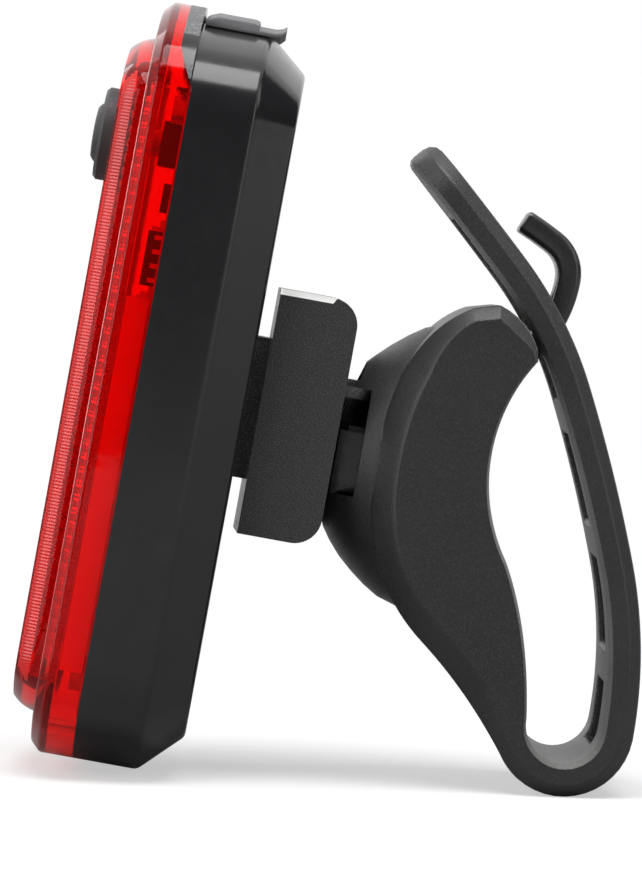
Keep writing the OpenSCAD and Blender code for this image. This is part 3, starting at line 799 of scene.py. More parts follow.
def box(low: Sequence[float], high: Sequence[float]) -> BMesh:
    """Makes a box.

    Args:
        low: its lowest corner.
        high: its highest corner.

    Returns:
        The box.
    """
    bm = bmesh.new()
    size = [b - a for a, b in zip(low, high)]
    middle = [(a + b) / 2 for a, b in zip(low, high)]
    shape = Matrix.Translation(middle) @ Matrix.Diagonal((*size, 1.0))
    bmesh.ops.create_cube(bm, size=1.0, matrix=shape)
    return bm


def cylinder(height: float, radius: float, start: float, end: float, steps: int = 64) -> BMesh:
    """Makes a cylinder along the depth axis.

    Args:
        height: its axis' height.
        radius: its radius.
        start: the depth where it starts.
        end: the depth where it ends.
        steps: its number of sides.

    Returns:
        The cylinder.
    """
    bm = bmesh.new()
    turn = Matrix.Translation((0.0, (start + end) / 2, height)) @ Matrix.Rotation(math.pi / 2, 4, "X")
    bmesh.ops.create_cone(bm, cap_ends=True, segments=steps, radius1=radius, radius2=radius,
                          depth=end - start, matrix=turn)
    return bm


def cad_copy(name: str) -> BMesh:
    """Copies a CAD node into the upright frame and merges it into whole faces.

    Args:
        name: the CAD node's name.

    Returns:
        The merged copy in millimetres.
    """
    bm = bmesh.new()
    bm.from_mesh(frame["nodes"][name].data)
    bm.transform(UPRIGHT.matrix().inverted())
    distance, angle = CAD_MERGE
    bmesh.ops.remove_doubles(bm, verts=bm.verts, dist=distance)
    bmesh.ops.dissolve_limit(bm, angle_limit=math.radians(angle), verts=bm.verts, edges=bm.edges)
    return bm


# Pieces, whose lengths are in millimetres in the upright frame and whose angles are in degrees

@dataclass
class LightBody:
    """Housing and lens of the light, on one arched outline."""

    width: float = 34.0
    length: float = 69.5
    depth: float = 16.0
    corner: float = 7.5
    end: float = 28.0
    wall: float = 1.6
    bevel_lead: float = 2.0
    bevel_in: float = 3.7
    bevel_deep: float = 3.8
    bevel_soft: float = 0.4
    back_flat: float = 1.0
    skirt_lead: float = 0.2
    flange: float = 2.3
    flange_bevel: float = 0.9
    flange_soft: float = 0.22
    plateau_in: float = 3.5
    plateau_slope: float = 1.2
    plateau_flat: float = 0.9
    slope_control: Point = (3.75, 0.8)
    rib_span: Point = (0.2, 1.35)
    rib_slack: float = 0.2
    lens_wall: float = 1.5
    parting: float = 6.3
    seam: float = 0.02
    lip: float = 4.7
    lip_back: float = 6.1
    lip_step: float = 0.12
    lip_rim: Point = (1.0, 3.0)
    lip_foot: float = 61.0
    jog_top: float = 65.0
    jog_foot: float = 61.5
    top_drop: float = 1.3
    button_height: float = 56.6
    button_hole: float = 4.34
    port_width: float = 8.6
    port: Point = (7.25, 10.9)
    port_reach: Point = (10.0, 1.0)
    corner_steps: int = 12
    end_steps: int = 24
    side_steps: int = 16
    slope_steps: int = 8
    hole_steps: int = 48
    crease: float = 25.0

    def corner_place(self) -> Point:
        """Gives a corner arc's centre: its width, and its height above the end arc's centre."""
        x = self.width / 2 - self.corner
        return x, math.sqrt((self.end - self.corner) ** 2 - x * x)

    def shoulder(self) -> float:
        """Gives the height where the top corners start."""
        return self.length - self.end + self.corner_place()[1]

    def outline(self, inset: float) -> list[Point]:
        """Draws the arched outline, drawn in by a distance.

        Args:
            inset: the distance in millimetres.

        Returns:
            Points of width and length, counter-clockwise from the right side.
        """
        x, h = self.corner_place()
        a = math.degrees(math.atan2(h, x))
        r, e = self.corner - inset, self.end - inset
        top, foot = self.shoulder(), self.end - h
        side = [(-x - r, top + (foot - top) * i / self.side_steps) for i in range(1, self.side_steps)]
        half = (arc((x, top), r, 0, a, self.corner_steps)
                + arc((0, self.length - self.end), e, a, 180 - a, self.end_steps)[1:-1]
                + arc((-x, top), r, 180 - a, 180, self.corner_steps) + side)
        return half + [(-px, self.length - pz) for px, pz in half]

    def parting_at(self, z: float) -> float:
        """Gives the depth of the parting line, which jogs forward near the top.

        Args:
            z: the height.

        Returns:
            The depth.
        """
        return self.parting + share_of(z, self.jog_foot, self.jog_top) * (self.lip - self.parting)

    def lip_end(self, z: float) -> float:
        """Gives the depth where the lip ends at a height."""
        return max(self.lip_back, self.parting_at(z) + self.seam)

    def step_end(self, z: float) -> float:
        """Gives the depth where the step behind the lip ends at a height."""
        return self.lip_end(z) + self.lip_step

    def ring(self, inset: float, depth: float | Callable[[float], float], drop: float = 0.0) -> list[Spot]:
        """Gives a ring of the outline at a depth.

        Args:
            inset: how far the outline is drawn in.
            depth: a depth, or a function of the height.
            drop: how far the top end is lowered.

        Returns:
            The ring's points.
        """
        start = self.shoulder()
        found = []
        for x, z in self.outline(inset):
            low = z - drop * max(0.0, (z - start) / (self.length - start))
            found.append((x, depth(z) if callable(depth) else depth, low))
        return found

    def housing(self) -> Object:
        """Builds the housing as a closed shell with its lip and bevelled back.

        Returns:
            The housing.
        """
        side = self.depth - self.bevel_deep
        back = fillet([(0.0, side - self.bevel_lead), (0.0, side), (self.bevel_in, self.depth),
                       (self.bevel_in + self.back_flat, self.depth)], self.bevel_soft)
        bm = bmesh.new()
        loft(bm, [
            self.ring(self.bevel_in + self.wall, self.depth - self.wall, self.top_drop),
            self.ring(self.wall, side - self.wall, self.top_drop),
            self.ring(self.wall, self.parting_at),
            self.ring(0.0, self.parting_at),
            self.ring(0.0, self.lip_end),
            self.ring(0.0, self.step_end, self.top_drop),
        ] + [self.ring(inset, depth, self.top_drop) for inset, depth in back])
        settle(bm)
        piece = new_object("housing_shell", bm, self.crease)
        half = self.port_width / 2
        port = box((-half, self.port[0], self.length - self.port_reach[0]),
                   (half, self.port[1], self.length + self.port_reach[1]))
        combine(piece, new_object("port", port), Solid.CUT)
        upright = UPRIGHT.matrix().inverted()
        for face in piece.data.polygons:
            spot = upright @ face.center
            rim = abs(spot.x) > self.width / 2 - self.lip_rim[0] or spot.z > self.length - self.lip_rim[1]
            lip = spot.y < self.lip_back + TOUCH and spot.z > self.lip_foot
            face.material_index = int(rim and lip)
        return piece

    def lens(self) -> Object:
        """Builds the lens with its skirt, flange, plateau and button hole.

        Returns:
            The lens.
        """
        inner = self.flange + self.lens_wall
        plateau = self.plateau_in + self.plateau_slope
        flat = plateau + self.plateau_flat
        slope = curve((self.plateau_in, self.flange), self.slope_control, (plateau, 0.0), self.slope_steps)
        front = fillet([(0.0, self.lip - self.skirt_lead), (0.0, self.flange + self.flange_bevel),
                        (self.flange_bevel, self.flange), slope[0]], self.flange_soft)
        front += slope[1:] + [(plateau, 0.0), (flat, 0.0)]
        bm = bmesh.new()
        loops = loft(bm, [
            self.ring(flat, self.lens_wall),
            self.ring(plateau, inner),
            self.ring(self.wall, inner),
            self.ring(self.wall, self.parting_at),
            self.ring(0.0, self.parting_at),
        ] + [self.ring(inset, depth) for inset, depth in front], capped=False)
        last = self.hole_steps - 1
        spots = arc((0.0, self.button_height), self.button_hole, 0, 360 * last / self.hole_steps, last)
        bores = [[(x, depth, z) for x, z in spots] for depth in (self.lens_wall, 0.0)]
        hole = loft(bm, bores, capped=False)
        for rim, bore in ((loops[0], hole[0]), (loops[-1], hole[1])):
            bmesh.ops.triangle_fill(bm, edges=rim + bore, use_beauty=True)
        settle(bm)
        for face in bm.faces:
            spot = face.calc_center_median()
            sloped = abs(spot.x) > self.width / 2 - plateau - self.rib_slack
            face.material_index = int(sloped and self.rib_span[0] < spot.y < self.rib_span[1])
        return new_object("lens_shell", bm, self.crease)

    def build(self) -> None:
        """Builds and dresses the housing and the lens."""
        for piece, node, finishes in ((self.housing(), "housing", (GLOSS_ABS, TEXTURED_AND_PAINTED_LIGHT_ABS)),
                                      (self.lens(), "lens", (RED_LENS, RIBBED_LENS))):
            even_shading(piece)
            finish_piece(piece, Body.LIGHT, finishes, [node])


@dataclass
class Optics:
    """Ribbed and beaded reflector bars along the plateau, and a white frame behind the skirt."""

    bar_low: float = 8.0
    bar_high: float = 63.0
    bar_inner: float = 9.6
    bar_outer: float = 11.1
    bar_flare: float = 0.8
    bar_front: float = 1.62
    bar_back: float = 3.7
    rib_pitch: float = 0.42
    bead_pitch: float = 1.25
    bead_deep: float = 0.15
    frame_side: Point = (14.7, 15.25)
    frame_deep: Point = (3.95, 6.0)
    frame_run: Point = (9.0, 42.6)
    clip_count: int = 8
    crease: float = 20.0

    # Shares of the pitch, each with the cut there
    grooves: tuple[Point, ...] = ((0.0, 0.0), (0.45, 0.0), (0.5, 0.12), (0.95, 0.12))
    clips: tuple[Point, ...] = ((0.0, 0.0), (0.9, 0.0), (0.91, 0.4), (0.99, 0.4))

    def bar_section(self, z: float, cut: float) -> list[Point]:
        """Draws a bar's section, its front set back by every other bead.

        Args:
            z: the height.
            cut: how far a rib's groove is cut in.

        Returns:
            Points of width and depth.
        """
        front = self.bar_front + self.bead_deep * (math.sin(2 * math.pi * z / self.bead_pitch) > 0)
        return [(self.bar_inner, front), (self.bar_outer - cut, front),
                (self.bar_outer + self.bar_flare - cut, self.bar_back), (self.bar_inner, self.bar_back)]

    def frame_section(self, _: float, cut: float) -> list[Point]:
        """Draws the frame's section, the same at every height apart from the cut of a clip."""
        (near, far), (front, back) = self.frame_side, self.frame_deep
        return [(near + cut, front), (far, front), (far, back), (near + cut, back)]

    def walls(self, name: str, low: float, pitch: float, count: int, notches: Sequence[Point],
              section: Callable[[float, float], list[Point]]) -> Object:
        """Lofts a wall along each side of the light, with a notch at each pitch.

        Args:
            name: the piece's name.
            low: the height where the walls start.
            pitch: the distance between notches.
            count: the number of notches.
            notches: shares of the pitch, each with the cut there.
            section: draws the wall's section from a height and a cut.

        Returns:
            The two walls as one piece.
        """
        bm = bmesh.new()
        for side in (-1, 1):
            rings = []
            for i in range(count):
                for share, cut in notches:
                    z = low + (i + share) * pitch
                    rings.append([(side * x, d, z) for x, d in section(z, cut)])
            loft(bm, rings)
        bmesh.ops.recalc_face_normals(bm, faces=bm.faces)
        return new_object(name, bm, self.crease)

    def build(self) -> None:
        """Builds and dresses the bars and the frame."""
        count = int((self.bar_high - self.bar_low) / self.rib_pitch)
        bars = self.walls("reflector_bars", self.bar_low, self.rib_pitch, count, self.grooves,
                          self.bar_section)
        finish_piece(bars, Body.LIGHT, [CRIMSON_ACRYLIC], ["light_guide"])
        low, high = self.frame_run
        pitch = (high - low) / self.clip_count
        walls = self.walls("reflector_frame", low, pitch, self.clip_count, self.clips, self.frame_section)
        finish_piece(walls, Body.LIGHT, [WHITE_ABS])


@dataclass
class BoardParts:
    """The parts on the circuit board that show through the lens wall."""

    chip_half: float = 2.0
    dark_part: float = 50.0
    crease: float = 30.0

    def two_tone(self, name: str, node: str, finishes: Sequence[Finish],
                 second: Callable[[Vector], bool]) -> None:
        """Copies a CAD node and gives some of its faces a second finish.

        Args:
            name: the piece's name.
            node: the CAD node that it replaces.
            finishes: the first and the second finish.
            second: tells from a face's middle whether it takes the second finish.
        """
        bm = cad_copy(node)
        for face in bm.faces:
            face.material_index = int(second(face.calc_center_median()))
        piece = new_object(name, bm, self.crease)
        finish_piece(piece, Body.LIGHT, finishes, [node])

    def build(self) -> None:
        """Gives the chip its plated pins and the small parts their ceramic."""
        low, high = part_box("driver_chip")
        middle = (low[0] + high[0]) / 2 / MM
        self.two_tone("chip_with_pins", "driver_chip", (CHIP_EPOXY, PLATED_STEEL),
                      lambda spot: abs(spot.x - middle) > self.chip_half)
        self.two_tone("small_parts", "small_components", (CHIP_EPOXY, PALE_CERAMIC),
                      lambda spot: spot.z < self.dark_part)


@dataclass
class ButtonCap:
    """The rubber button, turned about its own axis."""

    height: float = 56.6
    radius: float = 4.25
    rise: float = 1.5
    chamfer: float = 0.3
    pad_radius: float = 2.6
    pad_rise: float = 0.6
    pad_edge: tuple[Point, ...] = ((-2.6, 0.06), (-1.2, 0.0), (-0.35, 0.08), (0.0, 0.35))
    pad_foot: float = 0.12
    flange_radius: float = 5.05
    flange_depth: float = 1.6
    flange_thick: float = 0.8
    turn_steps: int = 64
    crease: float = 30.0

    def build(self) -> None:
        """Turns the button from its half outline."""
        face, pad = -self.rise, -self.rise - self.pad_rise
        back = self.flange_depth + self.flange_thick
        outline = [(self.pad_radius + out, pad + deep) for out, deep in self.pad_edge]
        outline += [(self.pad_radius + self.pad_foot, face), (self.radius - self.chamfer, face),
                    (self.radius, face + self.chamfer), (self.radius, self.flange_depth),
                    (self.flange_radius, self.flange_depth), (self.flange_radius, back), (0.0, back)]
        bm = bmesh.new()
        verts = [bm.verts.new((r, d, self.height)) for r, d in outline]
        edges = [bm.edges.new(pair) for pair in zip(verts, verts[1:])]
        bmesh.ops.spin(bm, geom=verts + edges, cent=(0, 0, self.height), axis=(0, 1, 0),
                       angle=2 * math.pi, steps=self.turn_steps, use_merge=True)
        settle(bm)
        piece = new_object("button_rubber", bm, self.crease)
        finish_piece(piece, Body.BUTTON, [SOFT_TPE], ["button_cap"])


@dataclass
class PortCover:
    """The rubber flap over the charging port, bent to the arched top end."""

    width: float = 13.0
    front: float = 6.3
    head_end: float = 11.2
    tab_end: float = 13.6
    thick: float = 1.05
    tab_thick: float = 0.5
    seat: float = 0.08
    nose: tuple[Point, ...] = ((0.0, -0.6), (0.15, -0.4), (0.5, -0.22), (1.1, 0.0))
    heel: tuple[Point, ...] = ((-0.5, 0.0), (-0.12, -0.12))
    tab_curl: tuple[Point, ...] = ((-0.9, 0.0), (-0.35, 0.15), (0.0, 0.4), (0.0, 0.1))
    tab_under: tuple[Point, ...] = ((-0.4, 0.2), (-0.8, 0.08))
    edge: float = 0.2
    stations: int = 18
    plug_width: float = 7.4
    plug: Point = (7.45, 10.25)
    plug_reach: float = 1.2
    plug_root: float = 0.3
    crease: float = 30.0

    def surface(self, x: float, light: LightBody) -> float:
        """Gives the height of the light's lowered top end.

        Args:
            x: the width.
            light: the light body.

        Returns:
            The height.
        """
        start = light.shoulder()
        z = light.length - light.end + math.sqrt(light.end ** 2 - x * x)
        return z - light.top_drop * (z - start) / (light.length - start)

    def outline(self) -> list[Point]:
        """Draws the flap from the side.

        Returns:
            Points of depth and of rise above the light's top end.
        """
        found = [(self.front, self.seat)]
        for depth, rise, steps in ((self.front, self.thick, self.nose),
                                   (self.head_end, self.thick, self.heel),
                                   (self.head_end, self.tab_thick, ((0.0, 0.0),)),
                                   (self.tab_end, self.tab_thick, self.tab_curl),
                                   (self.tab_end, 0.0, self.tab_under)):
            found += [(depth + d, rise + r) for d, r in steps]
        return found

    def build(self, light: LightBody) -> None:
        """Bends the flap's side outline over the top end.

        Args:
            light: the light body that it lies on.
        """
        across = [self.width * (i / self.stations - 0.5) for i in range(self.stations + 1)]
        bm = bmesh.new()
        loops = loft(bm, [[(x, d, self.surface(x, light) + r) for d, r in self.outline()] for x in across])
        for loop in (loops[0], loops[-1]):
            round_edges(bm, loop, self.edge, steps=2)
        settle(bm)
        piece = new_object("port_flap", bm, self.crease)
        top = self.surface(0.0, light)
        half = self.plug_width / 2
        plug = box((-half, self.plug[0], top - self.plug_reach), (half, self.plug[1], top + self.plug_root))
        combine(piece, new_object("port_flap_plug", plug), Solid.ADD)
        finish_piece(piece, Body.COVER, [COVER_TPE], ["port_cover"])


@dataclass
class Bracket:
    """The bracket block that the light slides into, with softened outer edges."""

    half_width: float = 10.0
    front: float = 17.3
    top: float = 45.65
    slack: float = 0.1
    front_crown: float = 0.42
    front_cut: float = 0.2
    top_cut: float = 0.55
    back_round: float = 1.0
    rim_facing: float = -0.7
    cut_facing: Point = (0.3, 0.95)

    def build(self) -> None:
        """Crowns the block's front, rounds its back edges, cuts its front and top edges and paints a
        highlight on the front face and the cut top edges.
        """
        bm = cad_copy("bracket_block")
        parts = bm.verts[:] + bm.edges[:] + bm.faces[:]
        bmesh.ops.bisect_plane(bm, geom=parts, plane_co=(0, 0, 0), plane_no=(1, 0, 0))
        for vert in bm.verts:
            if vert.co.y < self.front + TOUCH:
                vert.co.y -= self.front_crown * (1 - abs(vert.co.x) / self.half_width)
        groups: dict[str, list[BMEdge]] = {"front": [], "top": [], "back": []}
        for edge in bm.edges:
            if all(abs(abs(v.co.x) - self.half_width) < TOUCH for v in edge.verts):
                front = max(v.co.y for v in edge.verts) < self.front + self.slack
                top = min(v.co.z for v in edge.verts) > self.top - self.slack
                groups["front" if front else "top" if top else "back"].append(edge)
        round_edges(bm, groups["back"], self.back_round, steps=4)
        round_edges(bm, groups["top"], self.top_cut, steps=1, clamp=False)
        round_edges(bm, groups["front"], self.front_cut, steps=1, clamp=False)
        settle(bm)
        # The front face and the cut top edges take the pale painted highlight
        for face in bm.faces:
            spot = face.calc_center_median()
            rim = face.normal.y < self.rim_facing and spot.y < self.front + self.slack
            cut = self.cut_facing[0] < abs(face.normal.x) < self.cut_facing[1]
            face.material_index = int(rim or (cut and spot.z > self.top - self.top_cut))
        piece = new_object("bracket_soft", bm)
        even_shading(piece)
        finish_piece(piece, Body.BRACKET, (GRAIN_NYLON, PAINTED_HIGHLIGHT_NYLON), ["bracket_block"])


@dataclass
class Band:
    """The silicone band: a saddle on the tube, a bend below it and a ladder strap."""

    width: float = 22.0
    thick: float = 2.9

    # How far each row of an edge is drawn in, across the band and through it, as shares of the cut
    edge_steps: tuple[Point, ...] = ((0.0, 1.0), (0.1, 0.8), (0.8, 0.1), (1.0, 0.0))
    tail_steps: tuple[Point, ...] = ((0.0, 1.0), (0.134, 0.5), (0.5, 0.134), (1.0, 0.0))
    tail_edge: float = 0.8
    soft_edge: float = 0.34
    inner_run: float = 7.0
    broad_cut: float = 2.2
    brow_cut: float = 1.2
    brow_range: Point = (41.0, 46.5)
    cut_share: float = 0.4

    # The saddle's side outline, as depth and height
    tube_radius: float = 16.2
    tube_centre: Point = (54.75, 34.5)
    tube_angles: Point = (147.1, 215.5)
    tube_steps: int = 48
    bend_centre: Point = (49.35, 11.5)
    bend_inner: float = 3.4
    bend_outer: float = 6.3
    bend_angles: Point = (180.0, 315.0)
    bend_steps: tuple[int, int] = (16, 8)
    join_angle: float = 238.0
    foot_angle: float = 214.0
    heel_control: Point = (44.75, 19.5)
    heel_steps: int = 24
    knee_control: Point = (40.2, 13.0)
    knee: Point = (35.45, 16.6)
    waist_control: Point = (28.35, 21.9)
    waist: Point = (28.35, 32.0)
    brow_control: Point = (28.35, 43.5)
    brow: Point = (34.6, 47.0)
    brow_corner: Point = (36.9, 47.65)
    tip_control: Point = (40.3, 46.6)
    front_steps: tuple[int, ...] = (14, 20, 24, 7)

    # The dome's rings: depth behind its front, half height, half width and height of the middle
    dome: tuple[tuple[float, float, float, float], ...] = (
        (0.0, 6.7, 6.7, 32.1), (0.2, 7.1, 7.05, 32.0), (1.0, 8.1, 7.8, 31.85), (2.1, 9.3, 8.5, 31.8),
        (3.4, 10.5, 9.2, 31.85), (4.8, 11.6, 9.8, 31.9), (6.2, 12.5, 10.2, 31.95), (8.0, 13.1, 10.4, 32.0))
    dome_front: float = 24.75
    dome_sides: int = 72
    swivel_height: float = 34.5
    pocket_radius: float = 5.96
    pocket_end: float = 41.0
    window: Point = (28.3, 38.0)
    window_end: float = 27.0
    tool_side: float = 20.0
    tool_lead: float = 2.0
    sheen_facing: Point = (0.45, 0.5)
    saddle_crease: float = 22.0

    # The strap: the length and turn of each arc from the bend on, and where each slot starts and ends
    runs: tuple[Point, ...] = ((3.81, 45.0), (15.5, 21.0), (16.0, 6.0), (12.5, 20.0), (13.3, 2.0))
    slots: tuple[Point, ...] = ((1.5, 8.0), (11.4, 19.7), (23.1, 31.4), (34.8, 54.3))
    base_width: float = 21.0
    base_range: Point = (-4.0, 4.0)
    tail_width: float = 15.0
    tail_round: float = 5.0
    tail_row: float = 0.3
    tail_gap: float = 0.1
    slot_width: float = 8.0
    slot_share: float = 0.6
    inner_share: float = 0.35
    row_step: float = 0.7
    rim_angle: float = 60.0
    strap_crease: float = 16.0
    blend_start: Point = (47.85, 8.55)
    blend_end: Point = (52.5, 13.5)

    def bend_middle(self) -> float:
        """Gives the radius of the bend's middle line."""
        return (self.bend_inner + self.bend_outer) / 2

    def run_length(self) -> float:
        """Gives the strap's length from the end of the bend."""
        return sum(length for length, _ in self.runs)

    def side_outline(self) -> tuple[list[Point], list[Point]]:
        """Draws the saddle's side outline.

        Returns:
            The tube side from the tip to the join, and the front from the join to the tip.
        """
        near, far = self.bend_steps
        tube = arc(self.tube_centre, self.tube_radius, *self.tube_angles, self.tube_steps)
        inner = arc(self.bend_centre, self.bend_inner, self.bend_angles[0], self.join_angle, near)
        outer = arc(self.bend_centre, self.bend_outer, self.join_angle, self.foot_angle, far)
        back = tube[:-1] + curve(tube[-1], self.heel_control, inner[0], self.heel_steps) + inner
        foot, belly, brow, tip = self.front_steps
        front = (outer[:-1] + curve(outer[-1], self.knee_control, self.knee, foot)
                 + curve(self.knee, self.waist_control, self.waist, belly)
                 + curve(self.waist, self.brow_control, self.brow, brow)
                 + [self.brow] + curve(self.brow_corner, self.tip_control, tube[0], tip))
        return back, front

    def dome_rings(self) -> list[list[Spot]]:
        """Gives the oval rings of the dome that faces the bracket, front first."""
        turns = [2 * math.pi * i / self.dome_sides for i in range(self.dome_sides)]
        return [[(wide * math.cos(a), self.dome_front + depth, height + tall * math.sin(a)) for a in turns]
                for depth, tall, wide, height in self.dome]

    def saddle_rings(self) -> list[list[Spot]]:
        """Gives the saddle's side outline across its width, drawn in towards the two sides.

        Returns:
            The rings, from one side to the other.
        """
        back, front = self.side_outline()
        ring = [Vector(p) for p in back + front]
        last = len(back) - 1
        cuts = []
        inward = []
        for i, spot in enumerate(ring):
            far_side = ring[:last + 1] if i > last else ring[last + 1:]
            near = min((spot - p).length for p in far_side)
            broad = self.broad_cut + share_of(spot.y, *self.brow_range) * (self.brow_cut - self.broad_cut)
            cuts.append(min(broad if i > last else self.soft_edge, self.cut_share * near))
            before = spot if i == last + 1 else ring[i - 1]
            after = spot if i == last else ring[(i + 1) % len(ring)]
            along = (after - before).normalized()
            inward.append(Vector((along.y, -along.x)))
        rings = []
        for side, steps in ((-1, self.edge_steps), (1, self.edge_steps[::-1])):
            for share, inset in steps:
                runs = [share * cut * (1 if i > last else self.inner_run) for i, cut in enumerate(cuts)]
                rings.append([(side * (self.width / 2 - run), *(spot + inset * cut * way))
                              for spot, run, cut, way in zip(ring, runs, cuts, inward)])
        return rings

    def saddle(self) -> Object:
        """Builds the saddle from its side outline, its dome, its window and its swivel pocket.

        Returns:
            The saddle.
        """
        body, dome = bmesh.new(), bmesh.new()
        for bm, rings in ((body, self.saddle_rings()), (dome, self.dome_rings())):
            loft(bm, rings)
            settle(bm)
        bmesh.ops.triangulate(body, faces=[f for f in body.faces if len(f.verts) > 4])
        piece = new_object("saddle_silicone", body, upright=False)
        start = self.dome_front - self.tool_lead
        low, high = self.window
        window = box((-self.tool_side, start, low), (self.tool_side, self.window_end, high))
        pocket = cylinder(self.swivel_height, self.pocket_radius, start, self.pocket_end)
        for name, tool, way in (("dome", dome, Solid.ADD), ("window", window, Solid.CUT),
                                ("pocket", pocket, Solid.CUT)):
            combine(piece, new_object(name, tool, upright=False), way)
        piece.data.transform(UPRIGHT.matrix())
        for face in piece.data.polygons:
            face.use_smooth = True
            # The inner faces take the paler silicone of the painted reflection
            painted_sheen = face.normal.y > self.sheen_facing[0] and abs(face.normal.x) < self.sheen_facing[1]
            face.material_index = int(painted_sheen)
        piece.data.set_sharp_from_angle(angle=math.radians(self.saddle_crease))
        return piece

    def station(self, s: float) -> Spot:
        """Gives a place along the strap's middle line.

        Args:
            s: the distance from the end of the bend, negative within the bend.

        Returns:
            Depth, height and heading in radians.
        """
        middle = self.bend_middle()
        angle = math.radians(self.bend_angles[1]) + min(s, 0.0) / middle
        d = self.bend_centre[0] + middle * math.cos(angle)
        z = self.bend_centre[1] + middle * math.sin(angle)
        place, left = (d, z, angle + math.pi / 2), max(s, 0.0)
        for length, turn in self.runs:
            step = min(left, length)
            bend = math.radians(turn) * step / length
            chord = step if bend < STRAIGHT else 2 * step / bend * math.sin(bend / 2)
            place = advance(place, chord, bend)
            left -= step
        return place

    def half_width(self, s: float) -> float:
        """Gives half the strap's width.

        Args:
            s: the distance along the strap.

        Returns:
            The half width.
        """
        total, first = self.run_length(), self.runs[0][0]
        wide = self.width + (self.base_width - self.width) * share_of(s, *self.base_range)
        if s > first:
            wide = self.base_width + (self.tail_width - self.base_width) * (s - first) / (total - first)
        over = max(0.0, s - (total - self.tail_round))
        drop = self.tail_round - math.sqrt(max(0.0, self.tail_round ** 2 - over ** 2))
        return wide / 2 - drop

    def strap_rows(self) -> list[float]:
        """Spaces the strap's rows so that each slot starts and ends on one.

        Returns:
            The rows' distances along the strap, from the join to the tail's end.
        """
        start = -math.radians(self.bend_angles[1] - self.join_angle) * self.bend_middle()
        total, steps = self.run_length(), len(self.tail_steps)
        ends = [s for slot in self.slots for s in slot]
        cut = total - self.cut_share * self.thick - self.tail_gap
        marks = [start, 0.0, *ends, total - self.tail_round, cut]
        rows: list[float] = []
        for a, b in zip(marks, marks[1:]):
            count = max(1, round((b - a) / self.row_step))
            rows += [a + (b - a) * i / count for i in range(count)]
        return rows + [total - self.tail_row * (steps - 1 - i) for i in range(steps)]

    def strap_grid(self, rows: Sequence[float]) -> BMesh:
        """Lays a grid along the strap's middle line, takes out its slots and thickens it.

        Args:
            rows: the distance of each row along the strap.

        Returns:
            The grid, with each point's row and column in a layer.
        """
        steps = len(self.edge_steps)
        last_row, last_column = len(rows) - 1, 2 * steps + 1
        bm = bmesh.new()
        bmesh.ops.create_grid(bm, x_segments=last_column, y_segments=last_row, size=1.0)
        row, column, _ = (bm.verts.layers.int.new(name) for name in ("row", "column", "under"))
        for vert in bm.verts:
            vert[row] = round((vert.co.y + 1) / 2 * last_row)
            vert[column] = round((vert.co.x + 1) / 2 * last_column)
            d, z, _ = self.station(rows[vert[row]])
            vert.co = (vert.co.x * self.width / 2, d, z)
        gaps = []
        for face in bm.faces:
            s = [rows[v[row]] for v in face.verts]
            inside = any(a - TOUCH < min(s) and max(s) < b + TOUCH for a, b in self.slots)
            if inside and all(steps <= v[column] <= steps + 1 for v in face.verts):
                gaps.append(face)
        bmesh.ops.delete(bm, geom=gaps, context="FACES")
        bmesh.ops.recalc_face_normals(bm, faces=bm.faces)
        bmesh.ops.solidify(bm, geom=bm.faces[:], thickness=self.thick)
        return bm

    def shape_strap(self, bm: BMesh, rows: Sequence[float]) -> None:
        """Moves the grid's points to the strap's width and thickness, with the edges cut back.

        Args:
            bm: the thickened grid.
            rows: the distance of each row along the strap.
        """
        row, column, under = (bm.verts.layers.int[name] for name in ("row", "column", "under"))
        steps = len(self.edge_steps)
        last_row, last_column = len(rows) - 1, 2 * steps + 1
        for vert in bm.verts:
            s, drop, inset = rows[vert[row]], 0.0, 0.0
            d, z, _ = self.station(s)
            outer = math.hypot(vert.co.y - d, vert.co.z - z) > self.thick / 2
            vert[under] = int(not outer)
            depth = self.cut_share * self.thick if outer else self.soft_edge
            if last_row - vert[row] < steps:
                share, fall = self.tail_steps[last_row - vert[row]]
                size = depth if outer else self.tail_edge
                s, drop = self.run_length() - share * size, fall * size
            half = self.half_width(s)
            step = min(vert[column], last_column - vert[column])
            reach = min(self.slot_width / 2, self.slot_share * half)
            if step < steps:
                share, inset = self.edge_steps[step]
                run = depth if outer else min(self.inner_run * depth, self.inner_share * half)
                reach = half - share * run
            lift = (0.5 * self.thick - max(drop, inset * depth)) * (1 if outer else -1)
            d, z, heading = self.station(s)
            vert.co = (math.copysign(reach, vert[column] - last_column / 2),
                       d + lift * math.sin(heading), z - lift * math.cos(heading))

    def strap(self) -> Object:
        """Builds the ladder strap and rounds the rims of its slots.

        Returns:
            The strap, from the bend to the tail.
        """
        rows = self.strap_rows()
        bm = self.strap_grid(rows)
        self.shape_strap(bm, rows)
        settle(bm)
        row, column, under = (bm.verts.layers.int[name] for name in ("row", "column", "under"))
        steps = len(self.edge_steps)
        rims = [e for e in bm.edges if e.calc_face_angle(0.0) > math.radians(self.rim_angle)
                and all(steps <= v[column] <= steps + 1 and v[row] < len(rows) - 1 - steps for v in e.verts)
                and any(v[row] > 0 for v in e.verts)]
        round_edges(bm, rims, self.soft_edge, steps=2)
        settle(bm)
        for face in bm.faces:
            # The strap's inner faces take the paler silicone of the painted reflection
            face.material_index = int(all(v[under] for v in face.verts))
        return new_object("strap_silicone", bm, self.strap_crease)

    def build(self) -> None:
        """Builds and dresses the saddle and the strap."""
        finishes = (SILICONE, PAINTED_SHEEN_SILICONE)
        saddle, strap = self.saddle(), self.strap()
        even_shading(saddle)
        finish_piece(saddle, Body.SADDLE, finishes, ["saddle_pad"])
        even_shading(strap)
        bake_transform(strap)
        finish_piece(strap, None, finishes, ["strap"])


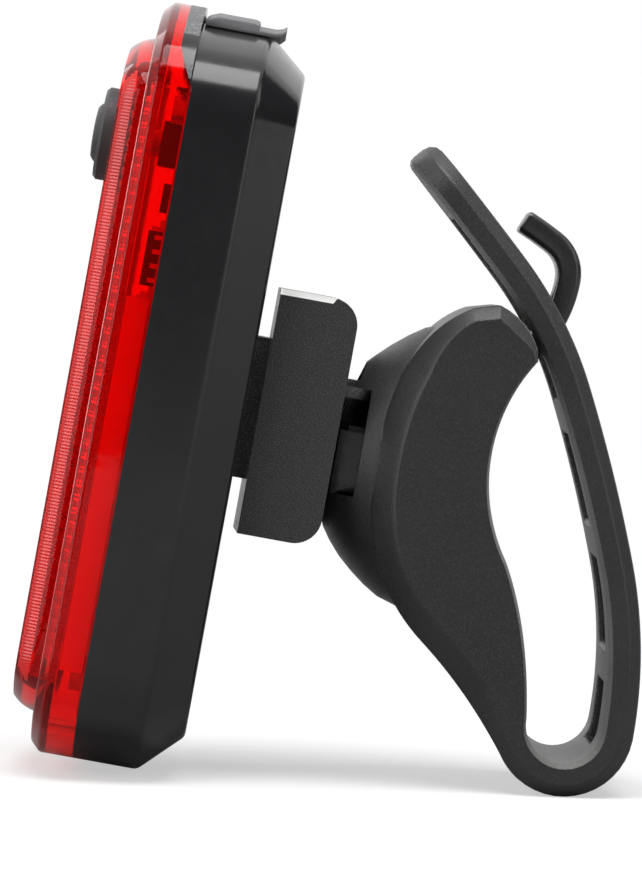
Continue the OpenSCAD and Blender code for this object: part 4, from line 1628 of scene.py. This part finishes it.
@dataclass
class Hook:
    """The hook that the strap's ladder hangs on."""

    start: Point = (38.45, 41.5)
    heading: float = 50.0
    runs: tuple[Point, ...] = ((2.8, 0.0), (5.0, 25.0), (3.0, 15.0), (3.9, 62.0), (3.4, 6.0))
    width: float = 6.0
    thick: float = 2.1
    edge: float = 0.55
    edge_steps: int = 4
    row_step: float = 0.4
    tip_round: float = 0.25
    crease: float = 40.0

    def section(self) -> list[Point]:
        """Draws the hook's rounded section.

        Returns:
            Points of width and thickness.
        """
        w, t = self.width / 2 - self.edge, self.thick / 2 - self.edge
        found = []
        for i, middle in enumerate(((w, t), (-w, t), (-w, -t), (w, -t))):
            found += arc(middle, self.edge, 90 * i, 90 * (i + 1), self.edge_steps)
        return found

    def places(self) -> list[Spot]:
        """Spaces the sections along the hook.

        Returns:
            The depth, the height and the heading of each.
        """
        found = [(*self.start, math.radians(self.heading))]
        for length, turn in self.runs:
            count = max(2, round(length / self.row_step))
            for _ in range(count):
                found.append(advance(found[-1], length / count, math.radians(turn) / count))
        return found

    def build(self) -> None:
        """Sweeps the section along the hook and rounds its tip."""
        bm = bmesh.new()
        loops = loft(bm, [[(x, d - y * math.sin(h), z + y * math.cos(h)) for x, y in self.section()]
                          for d, z, h in self.places()])
        round_edges(bm, loops[-1], self.tip_round, steps=2)
        settle(bm)
        piece = new_object("hook_moulded", bm, self.crease)
        finish_piece(piece, Body.SADDLE, [SMOOTH_NYLON], ["strap_hook"])


@dataclass
class Shroud:
    """The plate in the saddle's window, round the lower half of the swivel boss."""

    height: float = 34.5
    half_width: float = 7.4
    bore: float = 4.4
    bore_lead: float = 1.0
    start: float = 24.75
    end: float = 27.1
    foot: float = 28.2
    top_edge: float = 34.05
    corner: float = 1.6
    corner_steps: int = 6
    edge: float = 0.2
    crease: float = 40.0

    def build(self) -> None:
        """Rounds a block's foot and edges and bores it."""
        bm = box((-self.half_width, self.start, self.foot), (self.half_width, self.end, self.top_edge))
        feet = [e for e in bm.edges if all(v.co.z < self.foot + TOUCH for v in e.verts)
                and abs(e.verts[0].co.x - e.verts[1].co.x) < TOUCH]
        round_edges(bm, feet, self.corner, self.corner_steps)
        front = [e for e in bm.edges if all(v.co.y < self.start + TOUCH for v in e.verts)]
        round_edges(bm, front, self.edge, steps=2)
        settle(bm)
        piece = new_object("swivel_shroud", bm, self.crease)
        bore = cylinder(self.height, self.bore, self.start - self.bore_lead, self.end + self.bore_lead)
        combine(piece, new_object("bore", bore), Solid.CUT)
        finish_piece(piece, Body.SADDLE, [SMOOTH_NYLON])


def main() -> None:
    """Builds the stage and every piece in order."""
    logging.basicConfig(level=logging.INFO, format="%(name)s: %(message)s")
    Studio().build()
    dress_cad_nodes()
    light = LightBody()
    light.build()
    ButtonCap().build()
    PortCover().build(light)
    Optics().build()
    BoardParts().build()
    Bracket().build()
    Band().build()
    Hook().build()
    Shroud().build()


if __name__ == "__main__":
    main()
